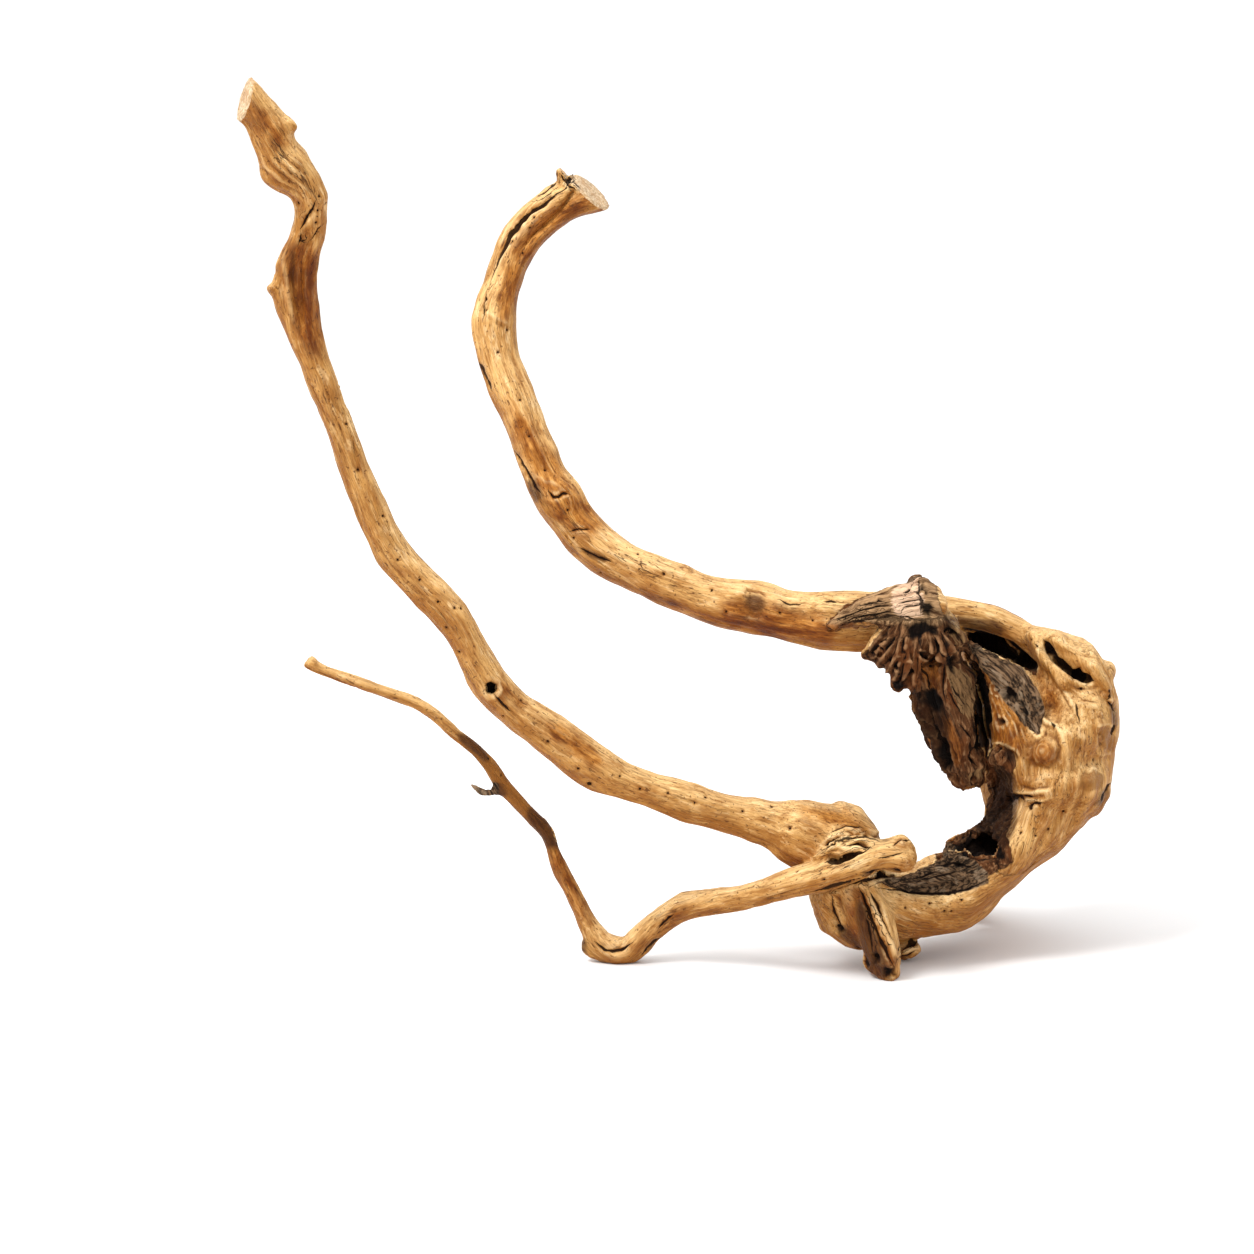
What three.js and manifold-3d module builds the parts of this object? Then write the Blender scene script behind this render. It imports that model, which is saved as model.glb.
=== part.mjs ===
// Red moorwood: one grown piece of root wood, with two long bare branches, a thin bent twig,
// a hollow gnarled burl with a rotted root hanging in it, and the short root feet it stands on.
// Millimetres, +X right in the photograph, +Y away from it, +Z up.
import * as THREE from 'three';
import { mergeVertices } from 'three/addons/utils/BufferGeometryUtils.js';
import Module from 'manifold-3d';

// The view of the photograph. Its pixels run right and down from the top left corner.
const PICTURE_MIDDLE = 627;
const MM_PER_PIXEL = 0.4;
const EYE_DISTANCE = 1500;
const LOOKING_DOWN = THREE.MathUtils.degToRad(10);
const GROUND_PIXEL = [889, 976];

// How finely the wood is drawn.
const RING_STEP = 5.5;
const WELD = 1e-4;
const TOP_REACH = 900;

// The waves of its surface, each as [strength, radians a millimetre along, shift by the seed].
// The swells go all round, and the flutes also turn with the angle round the stretch.
const SWELLS = [[0.25, 0.19, 2.3], [0.25, 0.47, 4.1]];
const MAIN_FLUTE = 0.6;
const CROSS_FLUTE = [0.36, -1.4, 2.2];
const OVAL = [0.3, 0.13, 3.7];

const SIGHT = new THREE.Vector3(0, Math.cos(LOOKING_DOWN), -Math.sin(LOOKING_DOWN));
const RISE = new THREE.Vector3(0, Math.sin(LOOKING_DOWN), Math.cos(LOOKING_DOWN));
const EYE = SIGHT.clone().multiplyScalar(-EYE_DISTANCE);
const UP = new THREE.Vector3(0, 0, 1);

// The point seen at a pixel, at the given depth, and the millimetres one pixel covers there.
function seen(x, y, depth) {
  const ray = SIGHT.clone().multiplyScalar(EYE_DISTANCE);
  ray.x += (x - PICTURE_MIDDLE) * MM_PER_PIXEL;
  ray.addScaledVector(RISE, (PICTURE_MIDDLE - y) * MM_PER_PIXEL);
  const reach = (depth - EYE.y) / ray.y;
  return { point: EYE.clone().addScaledVector(ray, reach), scale: MM_PER_PIXEL * reach };
}

// The centre line through stations [pixel x, pixel y, depth mm, width in pixels, thickness mm]
// with its cross directions and sizes. Without a thickness a stretch is round.
function course(stations, ahead) {
  const placed = stations.map(([x, y, depth, width, thick]) => {
    const { point, scale } = seen(x, y, depth);
    return { point, across: width * scale, deep: thick ?? width * scale };
  });
  const curve = new THREE.CatmullRomCurve3(placed.map((s) => s.point), false, 'centripetal');
  const last = placed.length - 1;
  return (at) => {
    const index = Math.min(Math.floor(at), last - 1);
    const blend = THREE.MathUtils.smoothstep(at - index, 0, 1);
    const centre = curve.getPoint(at / last);
    const along = curve.getTangent(at / last);
    const side = new THREE.Vector3().crossVectors(along, ahead).normalize();
    const back = new THREE.Vector3().crossVectors(side, along).normalize();
    const across = THREE.MathUtils.lerp(placed[index].across, placed[index + 1].across, blend);
    const deep = THREE.MathUtils.lerp(placed[index].deep, placed[index + 1].deep, blend);
    return { centre, along, side, back, across, deep };
  };
}

// A stretch of wood through such stations. Its surface has lengthwise flutes that twist, and
// slow swellings. A cut end is a flat face square to the given direction.
function limb(stations, options = {}) {
  const {
    sides = 12, step = RING_STEP, flutes = 3, relief = 0.045, twist = 0.02, seed = 1,
    ahead = SIGHT, startCut = null, endCut = null, forms = [],
  } = options;
  const at = course(stations, ahead);
  const fullness = 1 / Math.sqrt(Math.cos(Math.PI / sides));
  const turns = [0];
  for (let i = 1; i < stations.length; i += 1) {
    const gap = at(i).centre.distanceTo(at(i - 1).centre);
    const parts = Math.max(1, Math.round(gap / step));
    for (let k = 1; k <= parts; k += 1) turns.push(i - 1 + k / parts);
  }
  const points = [];
  let run = 0;
  let before = at(0).centre;
  turns.forEach((turn, ring) => {
    const s = at(turn);
    run += s.centre.distanceTo(before);
    before = s.centre;
    const swell = SWELLS.reduce((sum, [strength, pace, shift]) => (
      sum + relief * strength * Math.sin(pace * run + shift * seed)
    ), 1);
    const cut = ring === 0 ? startCut : ring === turns.length - 1 ? endCut : null;
    for (let k = 0; k < sides; k += 1) {
      const turned = (k / sides) * 2 * Math.PI;
      const [cross, crossPace, crossShift] = CROSS_FLUTE;
      const [oval, ovalPace, ovalShift] = OVAL;
      const flute = MAIN_FLUTE * Math.sin(flutes * (turned + twist * run) + seed)
        + cross * Math.sin((flutes + 2) * turned + crossPace * twist * run + crossShift * seed)
        + oval * Math.sin(2 * turned + ovalPace * run + ovalShift * seed);
      const grow = swell * fullness * (1 + relief * flute);
      const point = s.centre.clone()
        .addScaledVector(s.side, 0.5 * s.across * grow * Math.cos(turned))
        .addScaledVector(s.back, 0.5 * s.deep * grow * Math.sin(turned));
      const out = point.clone().sub(s.centre).normalize();
      point.addScaledVector(out, risen(point, out, forms));
      if (cut) {
        const face = new THREE.Vector3(...cut).normalize();
        const off = point.clone().sub(s.centre).dot(face) / s.along.dot(face);
        point.addScaledVector(s.along, -off);
      }
      points.push(point);
    }
  });
  const faces = [];
  const rings = turns.length;
  for (let ring = 0; ring + 1 < rings; ring += 1) {
    for (let k = 0; k < sides; k += 1) {
      const a = ring * sides + k;
      const b = ring * sides + ((k + 1) % sides);
      faces.push(a, a + sides, b, b, a + sides, b + sides);
    }
  }
  const first = points.push(at(0).centre) - 1;
  const final = points.push(at(stations.length - 1).centre) - 1;
  const lastRing = (rings - 1) * sides;
  for (let k = 0; k < sides; k += 1) {
    const next = (k + 1) % sides;
    faces.push(first, k, next, final, lastRing + next, lastRing + k);
  }
  return solidFrom(points, faces);
}

// How far the swellings and dips [pixel x, pixel y, reach in pixels, rise mm] on the side that
// faces the view lift a point of the surface.
function risen(point, out, forms) {
  const facing = THREE.MathUtils.smoothstep(-out.dot(SIGHT), -0.2, 0.3);
  const [x, y] = forms.length ? pixelOf(point) : [0, 0];
  return forms.reduce((sum, [formX, formY, reach, rise]) => (
    sum + facing * rise * Math.exp(-((x - formX) ** 2 + (y - formY) ** 2) / reach ** 2)
  ), 0);
}

// A path along the front of another stretch, as [station, across], where across runs from -1
// on one edge to 1 on the other.
function onFront(stations, path) {
  const at = course(stations, SIGHT);
  return path.map(([station, across, width, thick]) => {
    const s = at(station);
    const deep = 0.5 * s.deep * Math.sqrt(Math.max(0, 1 - across * across));
    const point = s.centre.clone().addScaledVector(s.side, 0.5 * s.across * across)
      .addScaledVector(s.back, -deep);
    return [...pixelOf(point), point.y, width, thick];
  });
}

// A rounded lump, coarse because it is small.
function ball([x, y, depth, width, height, thick]) {
  const { point, scale } = seen(x, y, depth);
  const shape = new THREE.SphereGeometry(0.5, 8, 6);
  shape.scale(width * scale, thick, height * scale);
  shape.rotateX(-LOOKING_DOWN);
  shape.translate(point.x, point.y, point.z);
  return toManifold(shape);
}

// The pixel at which a point is seen.
function pixelOf(point) {
  const from = point.clone().sub(EYE);
  const reach = from.dot(SIGHT) / EYE_DISTANCE;
  return [
    PICTURE_MIDDLE + from.x / (reach * MM_PER_PIXEL),
    PICTURE_MIDDLE - from.dot(RISE) / (reach * MM_PER_PIXEL),
  ];
}

const wasm = await Module();
wasm.setup();

function solidFrom(points, faces) {
  const shape = new THREE.BufferGeometry().setFromPoints(points);
  shape.setIndex(faces);
  return toManifold(shape);
}

function toManifold(shape) {
  shape.deleteAttribute('normal');
  shape.deleteAttribute('uv');
  const welded = mergeVertices(shape, WELD);
  return new wasm.Manifold(new wasm.Mesh({
    numProp: 3,
    vertProperties: new Float32Array(welded.attributes.position.array),
    triVerts: new Uint32Array(welded.index.array),
  }));
}

// The long branch on the left, from its sawn tip down to the neck. It comes forward.
const longBranch = [
  [244, 98, -84, 41], [258, 113, -82, 37], [270, 131, -80, 43], [276, 149, -78, 40],
  [284, 165, -76, 49], [301, 183, -74, 41], [310, 199, -73, 37], [310, 220, -71, 35],
  [304, 245, -68, 35], [296, 270, -65, 41, 12], [294, 290, -63, 45, 12],
  [299, 311, -60, 41, 12],
  [305, 335, -58, 35], [314, 360, -56, 30], [322, 382, -54, 31], [330, 402, -51, 29],
  [341, 430, -48, 31], [354, 466, -44, 32], [366, 495, -42, 34], [379, 526, -39, 34],
  [392, 551, -36, 36], [411, 573, -34, 34], [431, 593, -32, 37], [451, 615, -29, 38],
  [467, 641, -26, 35], [478, 663, -23, 38], [490, 684, -20, 42], [513, 707, -17, 39],
  [540, 727, -14, 42], [566, 746, -11, 42], [590, 765, -9, 42], [621, 780, -6, 36],
  [651, 790, -3, 35], [690, 802, 0, 41], [730, 814, 4, 41], [764, 822, 6, 47],
  [798, 832, 8, 68], [830, 844, 10, 76],
];

// The hooked branch, from its sawn tip round and down to the burl. It leans away.
const hookedBranch = [
  [591, 191, 98, 45], [575, 196, 98, 42], [559, 203, 97, 41], [544, 215, 96, 40],
  [527, 231, 95, 41], [516, 248, 94, 39], [507, 269, 92, 36], [502, 287, 90, 37],
  [497, 304, 88, 41], [494, 323, 86, 46], [496, 343, 84, 41], [500, 362, 82, 40],
  [508, 384, 79, 43], [518, 407, 76, 41], [528, 433, 73, 40], [536, 455, 70, 42],
  [546, 480, 67, 42], [559, 498, 65, 48], [569, 515, 63, 44], [583, 533, 61, 46],
  [605, 552, 58, 45], [631, 567, 55, 42], [659, 579, 52, 45], [690, 592, 49, 45],
  [721, 602, 46, 50], [754, 607, 44, 54], [788, 616, 42, 52], [820, 621, 41, 56],
  [856, 622, 40, 61], [894, 621, 40, 60], [930, 618, 41, 50], [965, 616, 42, 36],
  [1000, 625, 44, 35], [1024, 641, 46, 38], [1050, 666, 48, 56],
];

// The thin twig, from its curled tip down to the elbow it rests on, then back to the neck.
const twig = [
  [308, 660, -4, 15], [315, 666, -3, 12], [340, 676, -1, 11], [365, 685, 1, 10],
  [390, 694, 4, 12], [415, 703, 6, 12], [436, 716, 8, 13], [455, 734, 10, 12],
  [475, 750, 13, 13], [488, 764, 15, 16], [502, 785, 17, 16], [517, 801, 18, 16],
  [532, 817, 20, 15], [548, 834, 21, 16], [553, 851, 22, 14], [561, 871, 23, 17],
  [571, 889, 23, 17], [581, 909, 24, 18], [590, 927, 24, 21], [606, 948, 22, 29],
  [627, 952, 22, 30], [647, 933, 20, 27], [666, 917, 19, 27], [686, 906, 15, 28],
  [711, 902, 10, 26], [741, 898, 4, 26], [767, 891, -2, 26], [790, 883, -6, 31],
  [820, 876, -10, 36], [850, 866, -12, 36], [880, 855, -11, 31], [900, 856, -9, 36],
  [912, 858, -8, 26], [917, 859, -8, 8],
];
const twigStub = [[582, 946, 22, 11], [592, 950, 22, 18], [612, 953, 22, 22]];
const twigSpur = [[502, 790, 17, 10], [492, 792, 16, 6], [482, 793, 15, 6], [471, 784, 14, 4]];
const twigFork = [[486, 792, 15, 5], [479, 789, 15, 4], [474, 787, 15, 3]];

// The neck where the long branch, the twig and the lower strip meet, and the feet below it.
const neck = [
  [838, 807, 10, 14, 12], [842, 815, 11, 42, 26], [845, 833, 12, 68, 38],
  [846, 858, 13, 80, 46], [848, 892, 14, 79, 44], [851, 920, 15, 66, 36],
  [858, 938, 15, 36, 26], [862, 948, 15, 10, 12],
];
const frontFoot = [
  [858, 884, 1, 8, 8], [865, 900, 0, 24, 16], [872, 924, -1, 36, 22], [880, 948, -1, 34, 22],
  [886, 966, 0, 28, 19], [889, 981, 0, 21, 15],
];
const footRidge = [
  [872, 884, -1, 8, 8], [884, 915, -2, 17, 12], [893, 950, -1, 14, 12], [896, 970, 0, 7, 8],
];
const footKnot = [[864, 958, -1, 5, 5], [870, 963, -1, 16, 11], [882, 968, -1, 18, 12]];
const heelLump = [[893, 945, 22, 18, 12], [905, 949, 25, 25, 16], [918, 946, 26, 12, 10]];
const backFoot = [
  [1004, 842, 60, 58, 30], [984, 870, 80, 48, 27], [964, 894, 96, 38, 23],
  [952, 911, 106, 31, 20], [946, 924, 111, 28, 18], [944, 938, 113, 24, 17],
];

// The trunk of the burl, round from under the hooked branch to the lower strip and the neck.
const trunk = [
  [1040, 650, 48, 50, 34], [1052, 684, 50, 116, 64], [1053, 730, 52, 124, 84],
  [1054, 778, 52, 112, 86], [1037, 814, 50, 86, 80], [1005, 846, 46, 64, 66],
  [962, 884, 38, 72, 56], [924, 900, 30, 73, 48], [888, 904, 20, 72, 44],
  [856, 898, 14, 56, 36],
];
// The root on the outside of the burl, left as a rounded ridge.
const outerRoot = [
  [1028, 632, 44, 14, 16], [1055, 643, 38, 29, 32], [1075, 655, 38, 38, 42],
  [1093, 682, 44, 37, 50], [1095, 714, 48, 34, 54], [1091, 752, 50, 34, 54],
  [1084, 788, 52, 44, 50], [1068, 814, 50, 40, 40], [1038, 838, 46, 18, 24],
];
// The rim under the curved slit.
const lip = [
  [1030, 634, 37, 14, 16], [1046, 662, 32, 18, 20], [1064, 682, 28, 18, 22],
  [1084, 690, 29, 14, 20], [1098, 690, 36, 8, 14],
];
// The charred tongue that hangs from the upper root, and the amber strip under it.
const tongue = [
  [964, 642, 31, 10, 10], [984, 660, 30, 30, 16], [1008, 680, 26, 38, 20],
  [1025, 702, 25, 32, 18], [1036, 726, 24, 14, 12],
];
const amberStrip = [
  [972, 662, 36, 8, 14], [990, 690, 34, 26, 28], [1004, 720, 32, 40, 34],
  [1014, 752, 32, 46, 40], [1022, 778, 34, 38, 38], [1024, 800, 38, 24, 26],
];
// The wall behind the hollow, and a root that leaves it to the back.
const backWeb = [
  [972, 620, 54, 30, 22], [990, 648, 64, 64, 24], [1002, 682, 73, 82, 26],
  [1016, 724, 78, 100, 30], [1020, 772, 78, 90, 32], [1012, 812, 72, 56, 30],
  [1000, 842, 64, 36, 26],
];
const backRoot = [
  [1056, 716, 74, 60, 44], [1060, 706, 90, 48, 38], [1066, 692, 102, 36, 30],
  [1072, 676, 112, 27, 22],
];
// The rim over the black bowl, and the short root across the trunk beside the neck.
const cavityRim = [[950, 850, 46, 20, 12], [966, 842, 50, 20, 13], [986, 834, 52, 14, 12]];
const patchRoot = [
  [878, 881, 4, 8, 6], [914, 877, 9, 20, 14], [940, 868, 15, 32, 18], [962, 864, 17, 36, 18],
  [978, 873, 17, 22, 14], [987, 878, 19, 8, 8],
];

// The rotted root: its broken stub in front of the hooked branch, the fibres and the slab.
const stub = [
  [827, 626, 24, 5, 5], [848, 618, 22, 22, 11], [874, 610, 19, 32, 17],
  [898, 605, 17, 39, 21], [919, 600, 17, 45, 24], [930, 604, 19, 36, 24],
  [937, 610, 22, 20, 14],
];
const stubHead = [
  [924, 642, 22, 34, 20], [923, 624, 20, 38, 26], [921, 606, 21, 32, 22],
  [919, 588, 21, 27, 18], [917, 575, 22, 13, 10],
];
const fibres = [
  [[902, 612, 24, 26, 20], [884, 640, 20, 24, 16], [868, 654, 19, 16, 10], [861, 656, 19, 5, 5]],
  [[908, 612, 22, 28, 20], [894, 648, 15, 25, 16], [884, 664, 14, 18, 12], [874, 664, 15, 5, 5]],
  [[912, 612, 21, 30, 22], [902, 656, 12, 26, 16], [898, 682, 12, 22, 13], [896, 690, 13, 12, 8]],
  [[920, 612, 21, 30, 22], [914, 656, 13, 24, 16], [914, 690, 14, 12, 10]],
  [[926, 612, 22, 30, 22], [938, 638, 14, 31, 16], [944, 656, 13, 24, 14], [948, 668, 15, 8, 6]],
  [[934, 616, 22, 30, 24], [950, 630, 18, 24, 16], [960, 642, 17, 15, 12], [963, 652, 19, 6, 6]],
];
const slab = [
  [928, 626, 30, 44, 26], [934, 660, 30, 58, 34], [944, 692, 31, 68, 36],
  [954, 728, 33, 54, 34], [959, 756, 35, 46, 32], [966, 772, 37, 38, 26],
  [968, 781, 38, 32, 18],
];

// The folds pressed up where the twig's root crosses the neck, and small knobs and spurs.
const folds = [
  [[820, 850, -8, 5, 5], [840, 841, -11, 8, 7], [860, 838, -10, 7, 6], [878, 841, -6, 4, 4]],
  [[812, 858, -10, 5, 5], [832, 850, -12, 8, 7], [852, 846, -11, 6, 6], [866, 846, -9, 3, 4]],
  [[814, 860, -4, 8, 10], [836, 854, -5, 20, 14], [860, 847, -4, 20, 13], [882, 845, -4, 8, 8]],
];
const stubKnob = [[892, 842, -9, 8, 8], [902, 841, -9, 15, 9], [911, 845, -9, 7, 6]];
const branchKnob = [[274, 289, -64, 10, 9], [268, 289, -64, 8, 7], [266, 289, -64, 4, 4]];
const branchSpur = [[286, 124, -81, 16, 8], [294, 127, -81, 10, 6], [298, 128, -81, 4, 4]];
const tipSplinter = [[572, 190, 94, 12, 9], [562, 178, 94, 13, 7], [558, 169, 94, 6, 4]];

// The swellings and dips of the burl's front, as [pixel x, pixel y, reach in pixels, rise mm].
const trunkForms = [
  [1043, 750, 20, 5], // the amber boss under the tongue
  [1048, 706, 18, -5], // the dip beside the tongue
  [1074, 700, 26, 4], [1078, 735, 24, 4], [1072, 764, 22, -4], [1100, 700, 14, 4],
  [1098, 722, 16, 4], [1086, 786, 18, 5], [1098, 760, 16, -4], [1046, 790, 20, 4],
  [1034, 812, 22, 3], [1066, 812, 20, -5], [1010, 800, 14, -4], [1020, 846, 24, 4],
  [992, 868, 20, 4], [960, 908, 26, 3], [920, 910, 24, -3],
];
const neckForms = [
  [838, 908, 17, -4], [824, 908, 12, 2], [838, 834, 18, 3], [862, 826, 14, -3],
];
const branchForms = [
  [688, 566, 12, 3], [755, 603, 12, -4], [741, 596, 9, 2], [770, 610, 9, 2],
  [560, 500, 20, 2], [830, 612, 26, 3],
];
// Rounded lumps as [pixel x, pixel y, depth mm, width and height in pixels, thickness mm].
const rottenKnob = [1001, 756, 24, 30, 28, 22];
const rootCorner = [1106, 671, 40, 20, 24, 30];

const growth = [
  limb(longBranch, { sides: 11, flutes: 2, twist: 0.03, seed: 1.3, startCut: [-0.9, -0.3, 0.3] }),
  limb(hookedBranch, {
    sides: 11, flutes: 3, twist: 0.015, seed: 2.1, startCut: [0.68, -0.25, 0.7], forms: branchForms,
  }),
  limb(twig, { sides: 7, flutes: 2, relief: 0.06, seed: 0.4 }),
  limb(twigStub, { sides: 6, startCut: [-1, -0.25, 0.1] }),
  limb(twigSpur, { sides: 5 }),
  limb(twigFork, { sides: 4, step: 8 }),
  limb(neck, { sides: 16, step: 7, flutes: 4, relief: 0.04, seed: 2.6, forms: neckForms }),
  limb(frontFoot, { sides: 9, step: 7, relief: 0.08, seed: 1.9 }),
  limb(footRidge, { sides: 5, step: 9 }),
  limb(footKnot, { sides: 5, relief: 0.1 }),
  limb(heelLump, { sides: 6, relief: 0.1 }),
  limb(backFoot, { sides: 8, step: 9, relief: 0.08, seed: 3.1 }),
  limb(trunk, {
    sides: 24, step: 6.6, flutes: 5, relief: 0.03, twist: 0.012, seed: 0.9, forms: trunkForms,
  }),
  limb(outerRoot, { sides: 8, step: 9, relief: 0.06, seed: 4.2 }),
  limb(lip, { sides: 6, step: 8, seed: 1.1 }),
  limb(tongue, { sides: 7, step: 8 }),
  limb(amberStrip, { sides: 8, step: 9, relief: 0.06, seed: 3.3 }),
  limb(backWeb, { sides: 10, step: 11, relief: 0.08, flutes: 4, seed: 2.4 }),
  limb(backRoot, { sides: 9, step: 9, relief: 0.09, ahead: UP, seed: 0.6, endCut: [0.3, 0.8, 0.5] }),
  limb(cavityRim, { sides: 6, relief: 0.1 }),
  limb(patchRoot, { sides: 7, step: 8, relief: 0.08, flutes: 4 }),
  limb(stub, { sides: 11, step: 7, relief: 0.09, flutes: 4, seed: 3.9 }),
  limb(stubHead, { sides: 7, step: 8, relief: 0.1, flutes: 3, seed: 1.2 }),
  ...fibres.map((path, i) => limb(path, { sides: 5, step: 9, relief: 0.08, seed: i + 0.7 })),
  limb(slab, { sides: 18, step: 6, relief: 0.1, flutes: 6, twist: 0.01, seed: 2.2 }),
  ...folds.map((path) => limb(path, { sides: 5, step: 8 })),
  limb(stubKnob, { sides: 5 }),
  limb(branchKnob, { sides: 5 }),
  limb(branchSpur, { sides: 5 }),
  limb(tipSplinter, { sides: 5 }),
  ball(rottenKnob),
  ball(rootCorner),
];

// Hollows, cracks and holes.
const hollows = [
  // the curved slit under the outer root
  [[1045, 641, 12, 3, 24], [1054, 658, 12, 5, 32], [1068, 670, 12, 8, 40],
    [1083, 678, 14, 7, 40], [1095, 680, 16, 3, 30]],
  // the dark hollow under the hooked branch's root
  [[962, 632, 30, 4, 30], [984, 641, 30, 16, 50], [1010, 650, 30, 22, 54],
    [1031, 664, 30, 13, 44], [1040, 669, 30, 3, 30]],
  // the long crack between the slab and the amber strip
  [[965, 655, 18, 4, 30], [975, 672, 18, 8, 40], [981, 700, 18, 9, 44],
    [981, 730, 20, 12, 44], [982, 746, 24, 8, 40]],
  // the black bowl in the lower strip
  [[946, 845, 30, 6, 16], [962, 846, 28, 20, 26], [984, 846, 28, 28, 34],
    [1000, 849, 30, 18, 28], [1008, 851, 30, 6, 14]],
  // the slot between the twig's root end and the strip
  [[863, 873, -6, 3, 12], [880, 873, -6, 9, 18], [894, 874, -6, 8, 18], [906, 877, -6, 3, 14]],
  // the slit above the twig's root
  [[827, 861, -14, 4, 8], [840, 859, -15, 5, 10], [855, 853, -15, 4, 9], [868, 849, -14, 3, 6]],
  // the crack over the heel lump
  [[895, 949, 10, 4, 20], [906, 945, 14, 6, 22], [920, 940, 18, 4, 20]],
  // the short channel that runs into the burl's front below the amber boss
  [[1008, 799, 10, 8, 14], [1018, 799, 8, 9, 12], [1024, 800, 6, 4, 8]],
  // the twisted hollow of the long branch
  onFront(longBranch, [[7.2, 0.2, 6, 4], [8.2, 0.15, 18, 6], [9.2, 0.12, 22, 7],
    [10.4, 0.12, 16, 6], [11.5, 0.1, 5, 3]]),
  // the crack along the hooked branch's tip
  onFront(hookedBranch, [[0.9, -0.2, 5, 9], [2, 0.35, 5, 9], [3, 0.45, 5, 9], [4, 0.4, 5, 8],
    [5, 0.35, 4, 8], [6, 0.4, 3, 6], [7, 0.5, 2, 5]]),
];
// Round holes bored into the front: the knot hole of the long branch, and one in the burl.
const bores = [
  [[491, 688, -34, 8], [491, 688, -22, 8]],
  [[1029, 807, -2, 7], [1029, 807, 14, 7]],
];

let wood = growth.reduce((whole, piece) => whole.add(piece));
for (const path of hollows) {
  wood = wood.subtract(limb(path, { sides: 6, step: 8, relief: 0.05 }));
}
for (const path of bores) {
  wood = wood.subtract(limb(path, { sides: 6, step: 12, relief: 0.03, ahead: UP }));
}

// The wood stands on small flats: what would lie under the ground is worn off.
const [groundX, groundY] = GROUND_PIXEL;
const ground = seen(groundX, groundY, 0).point.z;
const below = new THREE.BoxGeometry(2 * TOP_REACH, 2 * TOP_REACH, TOP_REACH);
below.translate(0, 0, ground - TOP_REACH / 2);
wood = wood.subtract(toManifold(below));

const { vertProperties, triVerts } = wood.getMesh();
const shape = new THREE.BufferGeometry();
shape.setAttribute('position', new THREE.BufferAttribute(vertProperties, 3));
shape.setIndex(new THREE.BufferAttribute(triVerts, 1));
shape.computeBoundingBox();
const middle = shape.boundingBox.getCenter(new THREE.Vector3());
shape.translate(-middle.x, -middle.y, -shape.boundingBox.min.z);
shape.computeVertexNormals();

const moorwood = new THREE.Mesh(shape, new THREE.MeshStandardMaterial({
  color: 0xc89a5e, roughness: 0.6,
}));
moorwood.name = 'moorwood';

const group = new THREE.Group();
group.name = 'red_moorwood';
group.userData.eye = EYE.clone().sub(new THREE.Vector3(middle.x, middle.y, ground)).toArray();
group.add(moorwood);

export default group;
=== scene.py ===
import math

import bmesh
import bpy
import numpy as np
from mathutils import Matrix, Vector
from mathutils.bvhtree import BVHTree


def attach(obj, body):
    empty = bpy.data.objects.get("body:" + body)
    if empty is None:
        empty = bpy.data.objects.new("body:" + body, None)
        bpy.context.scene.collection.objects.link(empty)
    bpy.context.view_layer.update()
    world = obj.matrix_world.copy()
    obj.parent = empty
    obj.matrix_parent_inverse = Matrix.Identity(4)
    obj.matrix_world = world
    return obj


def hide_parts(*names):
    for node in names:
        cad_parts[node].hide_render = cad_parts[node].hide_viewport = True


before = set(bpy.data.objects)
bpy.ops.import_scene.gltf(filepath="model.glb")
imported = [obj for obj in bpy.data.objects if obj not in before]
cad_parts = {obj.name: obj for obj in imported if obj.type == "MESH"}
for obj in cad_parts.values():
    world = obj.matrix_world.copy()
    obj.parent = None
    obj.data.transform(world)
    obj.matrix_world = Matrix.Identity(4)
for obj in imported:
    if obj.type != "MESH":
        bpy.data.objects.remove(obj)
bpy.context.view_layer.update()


# The camera stands where the photograph was taken from, 1.5 m off and looking down a little.
# Everything that is read off the photograph is placed from this point too.
EYE = np.array((-0.0300212, -1.4905536, 0.4045908))
EYE_DISTANCE = 1.5
LOOKING_DOWN = math.radians(10)
PICTURE_MIDDLE = 627
METRES_PER_PIXEL = 0.0004
SENSOR = 36
SIGHT = np.array((0, math.cos(LOOKING_DOWN), -math.sin(LOOKING_DOWN)))
RISE = np.array((0, math.sin(LOOKING_DOWN), math.cos(LOOKING_DOWN)))

camera = bpy.data.objects.new("camera", bpy.data.cameras.new("camera"))
camera.location = EYE
camera.rotation_euler = (math.pi / 2 - LOOKING_DOWN, 0, 0)
camera.data.sensor_width = SENSOR
camera.data.lens = SENSOR / 2 * EYE_DISTANCE / (PICTURE_MIDDLE * METRES_PER_PIXEL)
bpy.context.scene.collection.objects.link(camera)
bpy.context.scene.camera = camera


def at_pixel(x, y, depth):
    """The point in millimetres seen at a pixel, depth millimetres behind the picture's plane."""
    ray = SIGHT * EYE_DISTANCE + RISE * (PICTURE_MIDDLE - y) * METRES_PER_PIXEL
    ray[0] = (x - PICTURE_MIDDLE) * METRES_PER_PIXEL
    reach = (depth / 1000 + EYE_DISTANCE * SIGHT[1]) / ray[1]
    return (EYE + ray * reach) * 1000


def pixel_of(points):
    """The pixels at which points in millimetres are seen, and how far off each one is."""
    away = points / 1000 - EYE
    reach = away @ SIGHT
    scale = EYE_DISTANCE / METRES_PER_PIXEL / reach
    x = PICTURE_MIDDLE + away[:, 0] * scale
    y = PICTURE_MIDDLE - (away @ RISE) * scale
    return x, y, reach * 1000


# The wood itself: one root, dug up, dried and left bare. Its sawn form comes from the part's
# solid, drawn finely enough for grain, cracks and pits, with the flats of the solid rounded.
SKIN_STEP = 0.00076
DOUBLES = 1e-6

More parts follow.
